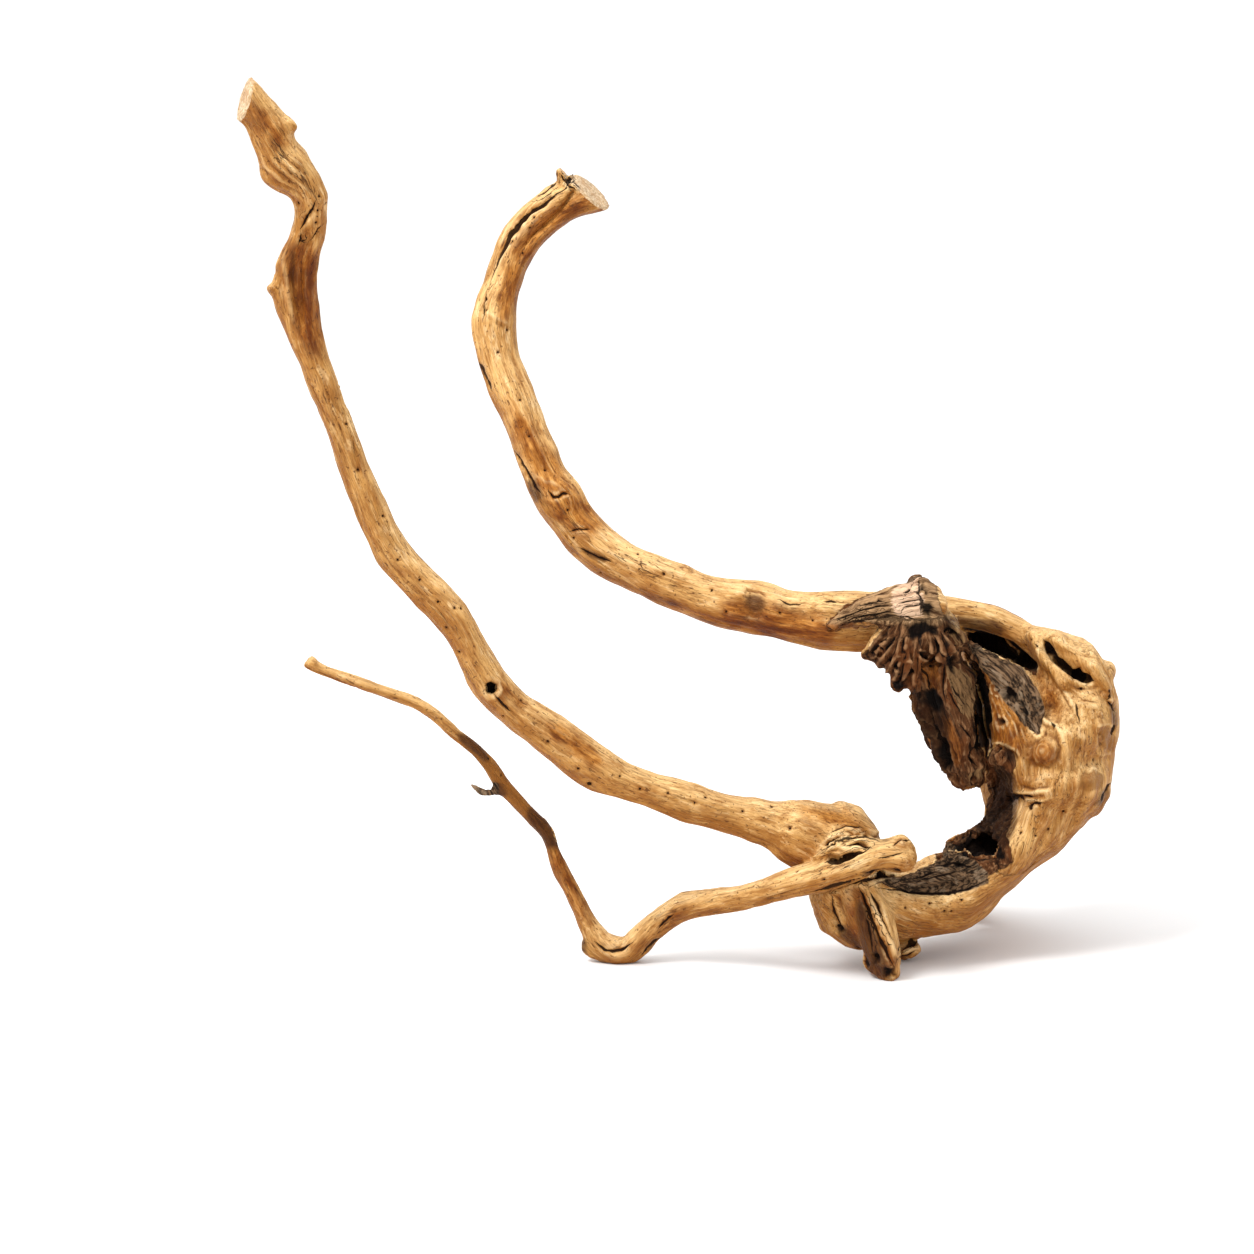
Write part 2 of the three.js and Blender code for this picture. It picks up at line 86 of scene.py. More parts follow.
wood = bpy.data.objects.new("root_wood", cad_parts["moorwood"].data.copy())
bpy.context.scene.collection.objects.link(wood)
joined = bmesh.new()
joined.from_mesh(wood.data)
bmesh.ops.remove_doubles(joined, verts=joined.verts, dist=DOUBLES)
joined.to_mesh(wood.data)
joined.free()
skin = wood.modifiers.new("skin", "REMESH")
skin.mode = "VOXEL"
skin.voxel_size = SKIN_STEP
skin.use_smooth_shade = True


def made_real(piece):
    """Leaves the piece with the mesh that its modifiers make, and with no modifier."""
    graph = bpy.context.evaluated_depsgraph_get()
    mesh = bpy.data.meshes.new_from_object(piece.evaluated_get(graph))
    piece.modifiers.clear()
    piece.data = mesh


def read(items, name, width, kind=np.float32):
    """One property of all vertices or edges, as an array with a row for each."""
    values = np.empty(len(items) * width, kind)
    items.foreach_get(name, values)
    return values.reshape(-1, width) if width > 1 else values


def normals():
    """Which way the skin faces at each vertex."""
    wood.data.update()
    return read(wood.data.vertices, "normal", 3).astype(float)


made_real(wood)
points = read(wood.data.vertices, "co", 3).astype(float) * 1000
edges = read(wood.data.edges, "vertices", 2, np.int32)
count = len(points)
neighbours = np.bincount(edges.ravel(), minlength=count)


def spread(values, rounds, pull=0.6):
    """Values on the vertices, evened out with their neighbours' that many times."""
    a, b = edges.T
    columns = values.reshape(count, -1).T.copy()
    for _ in range(rounds):
        for column in columns:
            around = np.bincount(a, column[b], count) + np.bincount(b, column[a], count)
            column += pull * (around / neighbours - column)
    return columns.T.reshape(values.shape)


# Weather has rounded the wood, but the two ends that were sawn off keep most of their edge.
ROUNDING = 20
SAWN_REACH = 22
CRISP_EDGE = 3
CRISPNESS = 0.8
evened = spread(points, ROUNDING)
rounded = evened + spread(points - evened, ROUNDING)
sawn_ends = ((at_pixel(244, 98, -84), (-0.9, -0.3, 0.3)),
             (at_pixel(591, 191, 98), (0.68, -0.25, 0.7)))
from_cut = np.full(count, -9.0)
for centre, faces in sawn_ends:
    off = (points - centre) @ (np.array(faces) / np.linalg.norm(faces))
    close = np.linalg.norm(points - centre, axis=1) < SAWN_REACH
    from_cut[close] = off[close]
crisp = CRISPNESS * np.clip(1 + from_cut / CRISP_EDGE, 0, 1)[:, None]
points = rounded * (1 - crisp) + points * crisp
wood.data.vertices.foreach_set("co", (points / 1000).ravel())
out = normals()
x, y, reach = pixel_of(points)


def noise(places, seed=0):
    """Smooth noise from about -1 to 1 that changes over one unit, the same on every run."""
    cell = np.floor(places).astype(np.int64)
    part = places - cell
    ease = part * part * (3 - 2 * part)
    total = np.zeros(len(places))
    for corner in range(8):
        step = np.array([(corner >> k) & 1 for k in range(3)])
        mixed = (cell + step) @ np.array([73856093, 19349663, 83492791]) + seed * 668265263
        mixed = ((mixed ^ (mixed >> 15)) * 1274126177) & 0x7FFFFFFFFFFF
        mixed = ((mixed ^ (mixed >> 16)) * 374761393) & 0x7FFFFFFFFFFF
        slope = np.stack([(mixed >> shift) & 255 for shift in (10, 19, 28)], 1) / 127.5 - 1
        share = np.where(step, ease, 1 - ease).prod(axis=1)
        total += share * ((part - step) * slope).sum(axis=1)
    return total * 1.5


def rise(values, low, high):
    """0 up to low, 1 from high on, and a smooth rise between them."""
    t = np.clip((values - low) / (high - low), 0, 1)
    return t * t * (3 - 2 * t)


# The grain runs along the wood. It is one long bent course from the tip of the long branch,
# through the neck and the burl, to the tip of the hooked branch, with side roots of their own.
LINE_STEP = 3
main_course = [
    (244, 98, -84, 41), (276, 149, -78, 40), (301, 183, -74, 41), (310, 220, -71, 35),
    (296, 270, -65, 41), (305, 335, -58, 35), (322, 382, -54, 31), (341, 430, -48, 31),
    (379, 526, -39, 34), (411, 573, -34, 34), (451, 615, -29, 38), (478, 663, -23, 38),
    (513, 707, -17, 39), (566, 746, -11, 42), (621, 780, -6, 36), (690, 802, 0, 41),
    (764, 822, 6, 47), (826, 850, 10, 66), (880, 892, 18, 70), (924, 900, 30, 73),
    (962, 884, 38, 72), (1005, 846, 46, 74), (1037, 814, 50, 96), (1054, 778, 52, 130),
    (1053, 730, 52, 140), (1052, 690, 50, 120), (1036, 655, 48, 66), (1010, 634, 45, 38),
    (965, 618, 42, 44), (920, 618, 40, 50), (856, 622, 40, 61), (788, 616, 42, 52),
    (754, 607, 44, 54), (690, 592, 49, 45), (631, 567, 55, 42), (583, 533, 61, 46),
    (559, 498, 65, 48), (536, 455, 70, 42), (518, 407, 76, 41), (500, 362, 82, 40),
    (494, 323, 86, 46), (502, 287, 90, 37), (516, 248, 94, 39), (544, 215, 96, 40),
    (591, 191, 98, 45),
]
twig = [
    (308, 660, -4, 15), (340, 676, -1, 11), (390, 694, 4, 12), (436, 716, 8, 13),
    (475, 750, 13, 13), (517, 801, 18, 16), (548, 834, 21, 16), (561, 871, 23, 17),
    (590, 927, 24, 21), (606, 948, 22, 29), (627, 952, 22, 30), (666, 917, 19, 27),
    (711, 902, 10, 26), (767, 891, -2, 26), (820, 876, -10, 36), (880, 855, -11, 31),
    (917, 859, -8, 20),
]
side_courses = {
    "twig": twig,
    "outer root": [(1028, 632, 44, 24), (1075, 655, 38, 38), (1093, 682, 44, 43),
                   (1095, 714, 48, 44), (1091, 752, 50, 44), (1084, 788, 52, 46),
                   (1068, 814, 50, 40), (1038, 838, 46, 22)],
    "amber strip": [(972, 662, 36, 18), (990, 690, 34, 28), (1004, 720, 32, 38),
                    (1014, 752, 32, 44), (1022, 778, 34, 40), (1024, 800, 38, 26)],
    "tongue": [(964, 642, 31, 10), (984, 660, 30, 26), (1008, 680, 26, 30),
               (1025, 702, 20, 26), (1036, 726, 16, 14)],
    "front foot": [(858, 884, 1, 12), (865, 900, 0, 24), (872, 924, -1, 34),
                   (880, 948, -1, 34), (889, 981, 0, 24)],
    "stub": [(827, 626, 24, 6), (848, 618, 22, 18), (874, 610, 19, 26), (898, 605, 17, 32),
             (919, 600, 17, 38), (937, 606, 22, 24)],
    "slab": [(918, 590, 24, 36), (928, 626, 27, 50), (934, 660, 29, 56), (944, 692, 31, 60),
             (954, 728, 33, 48), (959, 756, 35, 42), (968, 785, 38, 32)],
    "back root": [(1056, 716, 74, 56), (1060, 706, 90, 44), (1066, 692, 102, 34),
                  (1072, 676, 112, 26)],
    "back foot": [(1004, 842, 60, 50), (984, 870, 80, 40), (964, 894, 96, 34),
                  (952, 911, 106, 28), (944, 938, 113, 22)],
}


def course_line(stations):
    """Points, directions, two cross directions and radii every few millimetres of a course."""
    placed = np.array([at_pixel(*station[:3]) for station in stations])
    radius = np.array([station[3] for station in stations]) * METRES_PER_PIXEL * 500
    ends = np.concatenate([placed[:1] * 2 - placed[1:2], placed, placed[-1:] * 2 - placed[-2:-1]])
    line, sizes = [], []
    for i in range(len(placed) - 1):
        before, a, b, after = ends[i:i + 4]
        parts = max(2, round(np.linalg.norm(b - a) / LINE_STEP))
        for t in np.arange(parts) / parts:
            line.append(0.5 * (2 * a + (b - before) * t
                               + (2 * before - 5 * a + 4 * b - after) * t * t
                               + (3 * a - before - 3 * b + after) * t ** 3))
            sizes.append(radius[i] + (radius[i + 1] - radius[i]) * t)
    line, sizes = np.array(line + [placed[-1]]), np.array(sizes + [radius[-1]])
    ahead = np.gradient(line, axis=0)
    ahead /= np.linalg.norm(ahead, axis=1)[:, None]
    side = [np.cross(ahead[0], SIGHT)]
    for along in ahead:
        turned = side[-1] - along * (side[-1] @ along)
        side.append(turned / np.linalg.norm(turned))
    side = np.array(side[1:])
    run = np.concatenate([[0], np.cumsum(np.linalg.norm(np.diff(line, axis=0), axis=1))])
    return line, ahead, side, np.cross(ahead, side), sizes, run


AT_ONCE = 8192


def straightened(stations):
    """Each vertex as across, back and along a course, and how many radii it lies from it."""
    line, ahead, side, back, sizes, run = course_line(stations)
    last = len(line) - 2
    places, away = np.empty((count, 3)), np.empty(count)
    for start in range(0, count, AT_ONCE):
        here = slice(start, start + AT_ONCE)
        p = points[here]
        square = (p ** 2).sum(1)[:, None] - 2 * p @ line.T + (line ** 2).sum(1)
        near = np.argmin(square / sizes ** 2, axis=1)
        away[here] = np.sqrt(np.maximum(square[np.arange(len(p)), near], 0)) / sizes[near]
        ahead_of = ((p - line[near]) * ahead[near]).sum(1)
        first = np.clip(np.where(ahead_of < 0, near - 1, near), 0, last)
        low = ((p - line[first]) * ahead[first]).sum(1)
        high = ((p - line[first + 1]) * ahead[first + 1]).sum(1)
        gap = run[first + 1] - run[first]
        t = np.clip(low / np.maximum(low - high, 0.2 * gap), -8, 8)[:, None]
        centre = line[first] * (1 - t) + line[first + 1] * t
        inside = np.clip(t, 0, 1)
        across = side[first] * (1 - inside) + side[first + 1] * inside
        behind = back[first] * (1 - inside) + back[first + 1] * inside
        places[here, 0] = ((p - centre) * across).sum(1)
        places[here, 1] = ((p - centre) * behind).sum(1)
        places[here, 2] = run[first] + t[:, 0] * gap
    return places, away


COURSES_APART = 400
main_grain, main_away = straightened(main_course)
side_grain, side_away = np.zeros((count, 3)), np.full(count, 9.0)
nearest_side = np.full(count, -1)
for number, (name, stations) in enumerate(side_courses.items()):
    places, away = straightened(stations)
    closer = away < side_away
    places[:, 2] += COURSES_APART * number
    side_grain[closer], side_away[closer] = places[closer], away[closer]
    nearest_side[closer] = number
side = rise(main_away - side_away, -0.25, 0.25)


def streaks(across, along, seed):
    """Noise drawn out along the grain: its scale across and along it, in millimetres."""
    scale = np.array((across, across, along))
    return (1 - side) * noise(main_grain / scale, seed) + side * noise(side_grain / scale, seed + 50)


# What the surface carries: how far it stands out, in millimetres, how far inside each stain, or
# patch of painted shade, a vertex lies, and the nearest crack, pit and knot. The sections below fill it
# in.
relief = 0.3 * streaks(2.6, 34, 1) + 0.16 * streaks(1.3, 14, 2)
relief += 0.4 * noise(points / 16, 3) + 0.2 * noise(points / 6, 4)
relief += 0.75 * streaks(6.5, 70, 5)
creases = rise(np.abs(streaks(4.5, 60, 6)), 0.16, 0.0) * rise(streaks(9, 45, 7), -0.1, 0.5)
relief -= 0.5 * creases
relief *= 1 - 0.8 * rise(from_cut, -1.6, -0.5)
OUTSIDE = -4.0
stains = {name: np.full(count, OUTSIDE)
          for name in ("rot", "char", "amber", "stain_and_shade", "sawn", "bark", "worn", "deep", "wrinkled")}
stains["sawn"] = np.clip(2 * (from_cut + 1.0), OUTSIDE, -OUTSIDE)
crack_side, crack_width = np.full(count, 9.0), np.full(count, -1.0)
pit_from, pit_size = np.full((count, 3), 9.0), np.full(count, -1.0)
knot_from, knot_size = np.full((count, 3), 90.0), np.full(count, -1.0)

# Which vertices the photograph shows: they face it, and nothing stands before them. Its pixels
# are turned into millimetres where they fall on the wood.
SIGHT_CLEARANCE = 0.0012
sight_lines = BVHTree.FromObject(wood, bpy.context.evaluated_depsgraph_get())
open_to_eye = np.zeros(count)
facing = -(out @ SIGHT)
for i in np.flatnonzero(facing > -0.1):
    start = Vector(points[i] / 1000 + out[i] * SIGHT_CLEARANCE)
    open_to_eye[i] = sight_lines.ray_cast(start, Vector(EYE) - start)[0] is None
open_to_eye = spread(open_to_eye, 1)
front = rise(facing, -0.1, 0.2) * rise(open_to_eye, 0.2, 0.7)
MM = METRES_PER_PIXEL * reach / EYE_DISTANCE
depth_seen = points[:, 1] - 1000 * (EYE[1] + EYE_DISTANCE * SIGHT[1])
crack_sway = 0.45 * noise(points / 2.6, 30)
crack_swell = 1 + 0.8 * noise(points / 3.5, 31)


def to_path(path):
    """Each vertex's distance from a path of pixels, its side of it and its share along it."""
    path = np.array(path, float)
    lengths = np.linalg.norm(np.diff(path, axis=0), axis=1)
    run = np.concatenate([[0], np.cumsum(lengths)])
    best, beside, share = np.full(count, 9e9), np.ones(count), np.zeros(count)
    for i, length in enumerate(lengths):
        a, ahead = path[i], (path[i + 1] - path[i]) / length
        dx, dy = x - a[0], y - a[1]
        t = np.clip(dx * ahead[0] + dy * ahead[1], 0, length)
        away = np.hypot(dx - t * ahead[0], dy - t * ahead[1])
        near = away < best
        best[near] = away[near]
        beside[near] = np.sign(dx * ahead[1] - dy * ahead[0])[near]
        share[near] = ((run[i] + t) / run[-1])[near]
    return best, beside, share


def crack(path, width, depth, ends=0.25):
    """Cuts a crack along a path of pixels: its width and depth in millimetres at the middle."""
    away, beside, share = to_path(path)
    taper = rise(np.minimum(share, 1 - share), -0.02, ends)
    signed = away * MM * beside + crack_sway * min(1, 1.4 * width)
    away = np.abs(signed)
    half = 0.5 * width * taper * crack_swell
    relief[:] -= front * depth * taper * np.exp(-(away / (half + 0.4)) ** 2)
    closer = (away < np.abs(crack_side)) & (away < 3) & (front > 0.3)
    crack_side[closer] = signed[closer]
    crack_width[closer] = (half - 0.35 * rise(away, 1.6, 2.6))[closer] * front[closer]


def fold(path, width, height, ends=0.3):
    """Raises a rounded fold along a path of pixels, or sinks a soft trough."""
    away, _, share = to_path(path)
    taper = rise(np.minimum(share, 1 - share), -0.05, ends)
    relief[:] += front * height * taper * np.exp(-(away * MM / (0.5 * width)) ** 2)


def nearest_to(px, py):
    """The point of the wood that the photograph shows at a pixel."""
    away = np.hypot(x - px, y - py) + 999 * (front < 0.3)
    best = np.argmin(away)
    scale = MM[best]
    return points[best] + scale * ((px - x[best]) * np.array((1, 0, 0)) - (py - y[best]) * RISE)


def bored(centre, size, depth):
    """Bores a round hole at a point of the wood: its radius and depth in millimetres."""
    offset = points - centre
    span = np.linalg.norm(offset, axis=1)
    relief[:] -= depth * np.exp(-(span / (size + 0.5)) ** 2)
    near = (span < 2.4) & (span < np.linalg.norm(pit_from, axis=1))
    pit_from[near] = offset[near]
    pit_size[near] = size


def pit(px, py, size=0.36, depth=0.9):
    """Bores a hole, as beetles leave, at a pixel of the photograph."""
    bored(nearest_to(px, py), size, depth)


def pits(places, size=0.36):
    """Bores holes of one size at several pixels."""
    for px, py in places:
        pit(px, py, size)


def folds(paths, width, height, shift, beside_width, beside_height):
    """Raises folds along some paths, each with a trough or a ridge a few pixels beside it."""
    for path in paths:
        fold(path, width, height)
        fold([(px + shift[0], py + shift[1]) for px, py in path], beside_width, beside_height)


def knot(px, py, size, height=0.5, rings=3):
    """The scar of a side shoot at a pixel: its radius, and how far its rings stand out."""
    offset = points - nearest_to(px, py)
    offset *= (1 + 0.5 * noise(points / (1.6 * size), 32))[:, None]
    span = np.linalg.norm(offset, axis=1)
    bell = np.exp(-(span / size) ** 2)
    relief[:] += height * bell * np.cos(2 * math.pi * rings * span / (2 * size))
    near = (span < 1.6 * size) & (span < np.linalg.norm(knot_from, axis=1))
    knot_from[near] = offset[near]
    knot_size[near] = size


def within(outline):
    """How far inside an outline of pixels each vertex lies, in millimetres."""
    outline = np.array(outline, float)
    away, _, _ = to_path(np.concatenate([outline, outline[:1]]))
    inside = np.zeros(count, bool)
    for (ax, ay), (bx, by) in zip(outline, np.roll(outline, -1, axis=0)):
        crosses = (ay > y) != (by > y)
        at = ax + (bx - ax) * (y - ay) / (by - ay if by != ay else 1e-9)
        inside ^= crosses & (x < at)
    return np.where(inside, away, -away) * MM


SEEN = 0.08
TURNED_AWAY = -0.2


def stain(name, outline, soft=0.0, depths=None):
    """Marks what an outline of pixels holds: what is seen there, or walls between two depths."""
    if depths is None:
        marked = front > SEEN
    else:
        marked = (depth_seen > depths[0]) & (depth_seen < depths[1]) & (facing > TURNED_AWAY)
    depth = np.where(marked, within(outline) - soft, OUTSIDE)
    stains[name] = np.maximum(stains[name], np.clip(depth, OUTSIDE, -OUTSIDE))


# The long branch comes up from the neck to a tip that was sawn off. Its upper part twists,
# with a hollow in the twist that painted shade darkens, and beetle holes are scattered over it.
crack([(316, 200), (313, 210), (304, 221), (299, 230)], 0.9, 1.4)
crack([(322, 226), (316, 234), (310, 240)], 0.4, 0.6)
crack([(301, 234), (302, 240), (299, 244)], 0.9, 1.0)
folds(([(256, 150), (262, 168), (278, 182), (296, 192), (312, 206)],
       [(262, 148), (270, 165), (286, 178), (304, 192), (318, 208)],
       [(258, 162), (268, 178), (284, 188)],
       [(268, 146), (280, 162), (296, 176), (308, 188)],
       [(270, 186), (284, 192), (298, 204)],
       [(280, 150), (290, 162), (304, 172)],
       [(314, 238), (306, 246), (298, 262)],
       [(322, 232), (314, 244), (308, 262)]), 1.5, -0.55, (3, -3), 1.6, 0.4)
stain("wrinkled", [(250, 140), (290, 140), (322, 180), (330, 230), (300, 250), (278, 215),
                   (252, 180)], 0.5)
fold([(287, 236), (284, 262), (288, 300), (296, 332)], 2.4, 1.0)
fold([(317, 240), (316, 268), (311, 300), (314, 335)], 2.4, 0.7)
stain("stain_and_shade", [(289, 250), (297, 248), (298, 268), (296, 290), (299, 312), (296, 318), (291, 300),
                (287, 272)], 0.9)
fold([(306, 262), (305, 290), (309, 318)], 1.3, 0.35)
fold([(301, 256), (300, 290), (304, 325)], 1.0, -0.4)
fold([(311, 262), (310, 290), (312, 322)], 1.0, -0.4)
stain("amber", [(288, 246), (306, 242), (318, 258), (318, 300), (322, 345), (312, 356), (298, 332),
                (287, 300), (285, 268)], -0.5)
# Knots, the last of them with an open hole, painted black inside as shade, and a crack.
knot(312, 384, 1.8, 0.6, 1)
knot(341, 386, 1.4, 0.5, 1)
knot(270, 289, 1.6, 0.4, 1)
fold([(484, 680), (491, 676), (499, 681), (501, 689), (497, 697), (488, 698), (482, 690),
      (484, 680)], 1.6, 0.6)
knot(491, 688, 3.2, 0.6, 1)
crack([(495, 695), (503, 705), (511, 711)], 0.7, 1.0)
stain("deep", [(486, 684), (491, 682), (496, 685), (497, 690), (493, 693), (487, 692)])
# Amber patches, a wrinkled stretch and beetle holes.
stain("amber", [(235, 100), (252, 96), (284, 128), (292, 146), (280, 150), (258, 128)], 0.5)
stain("amber", [(540, 715), (575, 728), (600, 748), (612, 768), (590, 770), (566, 752), (543, 735)], 1.0)
stain("amber", [(498, 676), (520, 690), (535, 708), (518, 712), (498, 696)], 1.5)
stain("amber", [(792, 800), (850, 808), (878, 828), (868, 838), (830, 830), (800, 822)], 1.5)
stain("wrinkled", [(430, 588), (470, 610), (486, 650), (462, 660), (438, 620)], 1)
pits([
    (320, 196), (326, 203), (319, 211), (317, 223), (301, 238), (297, 204), (316, 170), (455, 608),
    (462, 608), (438, 602), (446, 628), (459, 652), (465, 672), (503, 716), (578, 769), (620, 776),
    (692, 782), (695, 803), (706, 797), (743, 811), (347, 424), (359, 470), (384, 516), (398, 560),
    (420, 580), (522, 700), (548, 742), (640, 789), (668, 793), (772, 806), (790, 828),
])
pit(589, 785, 0.9, 1.5)

# The hooked branch bends round from the burl and ends in a sawn face. A long dry crack runs
# down from the face, and rows of holes mark where shoots broke off.
crack([(574, 181), (566, 189), (557, 193), (549, 199), (542, 205), (532, 209), (524, 216), (516, 225),
       (510, 233), (505, 244), (500, 254), (496, 263), (492, 276), (489, 290)], 2.5, 3.4, 0.55)
crack([(576, 170), (572, 177), (566, 186)], 2.0, 2.6)
crack([(560, 174), (566, 182), (576, 190)], 1.1, 1.6)
crack([(557, 172), (554, 182), (546, 190), (538, 196)], 0.7, 0.9)
fold([(480, 307), (486, 316), (498, 324), (512, 330)], 1.6, -0.3)
knot(541, 216, 1.2, 0.4, 1)
crack([(566, 172), (574, 180), (580, 188)], 0.7, 1.0)
crack([(486, 292), (484, 305), (484, 318)], 0.35, 0.6)
fold([(480, 307), (494, 317), (512, 326)], 2.0, 0.5)
# Cracks and shoulders on the way down and round the bend.
crack([(480, 362), (484, 376), (491, 390)], 0.9, 1.2)
crack([(514, 450), (520, 463), (529, 477), (536, 489), (542, 494)], 1.0, 1.4)
fold([(532, 472), (546, 482), (566, 486)], 3.0, 0.8)
crack([(549, 491), (553, 497), (559, 497), (563, 493), (569, 494)], 0.8, 1.4, 0.15)
crack([(570, 531), (578, 529), (590, 529)], 0.6, 1.0, 0.2)
crack([(580, 548), (594, 556), (612, 562)], 0.6, 0.8)
stain("stain_and_shade", [(526, 480), (538, 484), (543, 497), (536, 503), (529, 494)])
stain("stain_and_shade", [(580, 548), (596, 552), (612, 560), (604, 564), (588, 558)], 0.4)
fold([(600, 545), (622, 560), (648, 568)], 3.2, 0.8)
fold([(640, 566), (656, 570), (676, 572)], 3.4, 0.7)
# The level stretch, with the scar of a thick shoot.
knot(688, 567, 3.0, 0.7, 1)
knot(755, 603, 5.4, 0.8, 1)
stain("stain_and_shade", [(743, 594), (757, 592), (768, 601), (767, 611), (752, 615), (743, 606)], 0.8)
fold([(742, 598), (748, 590), (760, 591), (769, 600)], 1.4, -0.7)
fold([(744, 608), (754, 616), (768, 613)], 1.4, -0.7)
crack([(780, 600), (790, 604), (803, 603)], 0.5, 0.9)
crack([(824, 601), (832, 600), (838, 601)], 0.7, 0.8)
# Amber patches, a wrinkled stretch and beetle holes.
stain("amber", [(588, 190), (596, 204), (566, 222), (542, 240), (524, 270), (514, 310), (500, 330),
                (498, 290), (512, 246), (536, 216)], 0)
stain("amber", [(510, 400), (530, 420), (552, 452), (576, 488), (606, 520), (590, 540), (556, 520),
                (524, 460)], 0)
stain("amber", [(640, 588), (700, 606), (750, 622), (800, 632), (790, 640), (720, 628), (660, 606)], 1.0)
stain("amber", [(720, 596), (760, 600), (812, 612), (840, 626), (830, 644), (770, 640), (716, 626)], 0.5)
stain("wrinkled", [(560, 484), (620, 540), (676, 560), (660, 584), (600, 560), (552, 510)], 1)
pits([
    (486, 299), (486, 310), (534, 217), (512, 241), (523, 253), (508, 330), (573, 538), (638, 554),
    (530, 228), (498, 352), (520, 400), (529, 436), (600, 574), (664, 574), (712, 590), (726, 612),
    (780, 612), (545, 470), (812, 620), (568, 510),
])

# The twig is the thinnest root. It is stained dark where its bark was left on longest, and
# its elbow, where a stub was broken off, rests on the ground.
stain("stain_and_shade", [(458, 734), (470, 736), (482, 746), (490, 758), (484, 760), (472, 752), (462, 744)], -0.3)
stain("stain_and_shade", [(530, 806), (544, 818), (556, 832), (560, 846), (548, 848), (538, 834), (526, 816)], -0.3)
stain("bark", [(458, 734), (474, 738), (490, 754), (506, 774), (528, 806), (556, 834), (560, 848),
               (548, 850), (514, 806), (482, 764)], -1)
# Painted shade, black, along the twig's right edge.
stain("deep", [(551, 818), (557, 822), (561, 838), (557, 843), (553, 832)], 0.2)
stain("amber", [(470, 740), (500, 764), (530, 800), (560, 840), (574, 884), (590, 920), (576, 910),
                (552, 860), (500, 800)], -1)
stain("char", [(464, 778), (488, 784), (497, 785), (498, 800), (470, 802)], -0.9, (-60, 80))
stain("stain_and_shade", [(464, 778), (488, 784), (497, 785), (498, 800), (470, 802)], -0.9, (-60, 80))
stain("stain_and_shade", [(494, 782), (502, 784), (506, 794), (498, 800)], -0.2)
stain("stain_and_shade", [(572, 936), (586, 940), (586, 954), (574, 952)])
fold([(462, 778), (475, 789), (488, 792), (498, 790)], 5, 1.0, 0.05)
knot(489, 758, 1.6, 0.5, 1)
pit(489.5, 758, 0.6)
pit(502, 775, 0.3)
knot(548, 829, 1.5, 0.4, 1)
knot(581, 918, 1.5, 0.4, 1)
crack([(594, 941), (605, 950), (613, 952), (622, 949), (633, 942)], 0.9, 1.2)
crack([(658, 929), (665, 921), (673, 914)], 0.7, 1.0)
crack([(661, 938), (652, 946), (642, 955)], 0.8, 1.0)
stain("wrinkled", [(566, 870), (600, 900), (640, 940), (690, 890), (760, 880), (800, 900), (700, 920),
                   (640, 960), (580, 950)], 0.5)
stain("amber", [(628, 948), (652, 930), (670, 912), (690, 906), (668, 930), (646, 950)], 0.8)

# The neck is where the long branch, the twig and the strip below the burl meet. The twig's
# root is pressed over it in folds, and the short feet under it are split and stained, with
# painted shade black in their hollows.
fold([(818, 846), (838, 836), (860, 834), (880, 840)], 2.0, 0.8)
fold([(824, 838), (846, 828), (868, 828)], 2.4, 0.7)
crack([(820, 850), (834, 840), (850, 837), (866, 836), (880, 842)], 0.9, 1.2)
crack([(826, 861), (840, 860), (855, 853), (870, 848)], 1.3, 2.0)
folds(([(822, 846), (830, 842), (838, 846)], [(836, 838), (844, 842), (852, 838)],
       [(846, 832), (854, 836), (862, 834)], [(828, 852), (838, 850), (846, 852)],
       [(852, 844), (862, 843), (870, 846)], [(866, 832), (874, 836), (882, 837)]),
      1.4, -0.9, (0, -4), 1.6, 0.7)
crack([(830, 833), (846, 826), (862, 828)], 0.5, 0.8)
crack([(846, 846), (858, 844), (872, 846)], 0.5, 0.8)
crack([(812, 893), (835, 888), (850, 884), (866, 880), (882, 876), (906, 875)], 1.4, 1.6)
crack([(866, 873), (880, 874), (894, 873), (905, 876)], 1.6, 2.0)
crack([(880, 858), (892, 856), (904, 852)], 0.4, 0.6)
knot(902, 843, 3.0, 0.6, 1)
knot(905, 866, 2.2, 0.5, 1)
crack([(893, 846), (900, 838), (912, 840)], 0.5, 0.8)
fold([(832, 856), (848, 850), (864, 845)], 4.0, 1.5)
stain("stain_and_shade", [(862, 871), (884, 869), (906, 873), (902, 880), (880, 879), (866, 880)])
fold([(846, 884), (850, 900), (856, 916)], 6, 1.0)
fold([(838, 892), (840, 906), (846, 924)], 2.4, -1.2)
crack([(832, 896), (834, 912), (842, 930)], 0.5, 0.9)
stain("wrinkled", [(800, 836), (850, 812), (900, 836), (915, 870), (860, 900), (812, 880)], 0)
stain("stain_and_shade", [(834, 922), (846, 926), (864, 944), (862, 954), (846, 942)], 0.4)
stain("stain_and_shade", [(856, 896), (864, 904), (872, 922), (882, 944), (888, 966), (882, 976), (868, 972),
                (862, 956), (858, 934)], 0.2)
stain("amber", [(854, 890), (866, 900), (880, 930), (890, 960), (880, 976), (862, 966), (852, 930)], -1.5)
stain("bark", [(856, 900), (866, 910), (878, 936), (884, 960), (870, 968), (858, 944)], -0.5)
stain("deep", [(855, 944), (862, 950), (870, 966), (864, 972), (858, 958)], 0.3)
stain("deep", [(871, 955), (876, 952), (881, 956), (880, 963), (874, 964)], 0.3)
stain("deep", [(883, 966), (894, 968), (897, 976), (884, 979)], 0.5)
stain("deep", [(836, 926), (842, 926), (845, 931), (839, 934)], 0.3)
stain("stain_and_shade", [(834, 924), (850, 932), (862, 948), (852, 946), (838, 938)], 0.4)
fold([(867, 886), (874, 906), (884, 930), (894, 956), (897, 976)], 2.2, 1.2)
fold([(880, 900), (888, 930), (896, 962)], 2.2, 1.2)
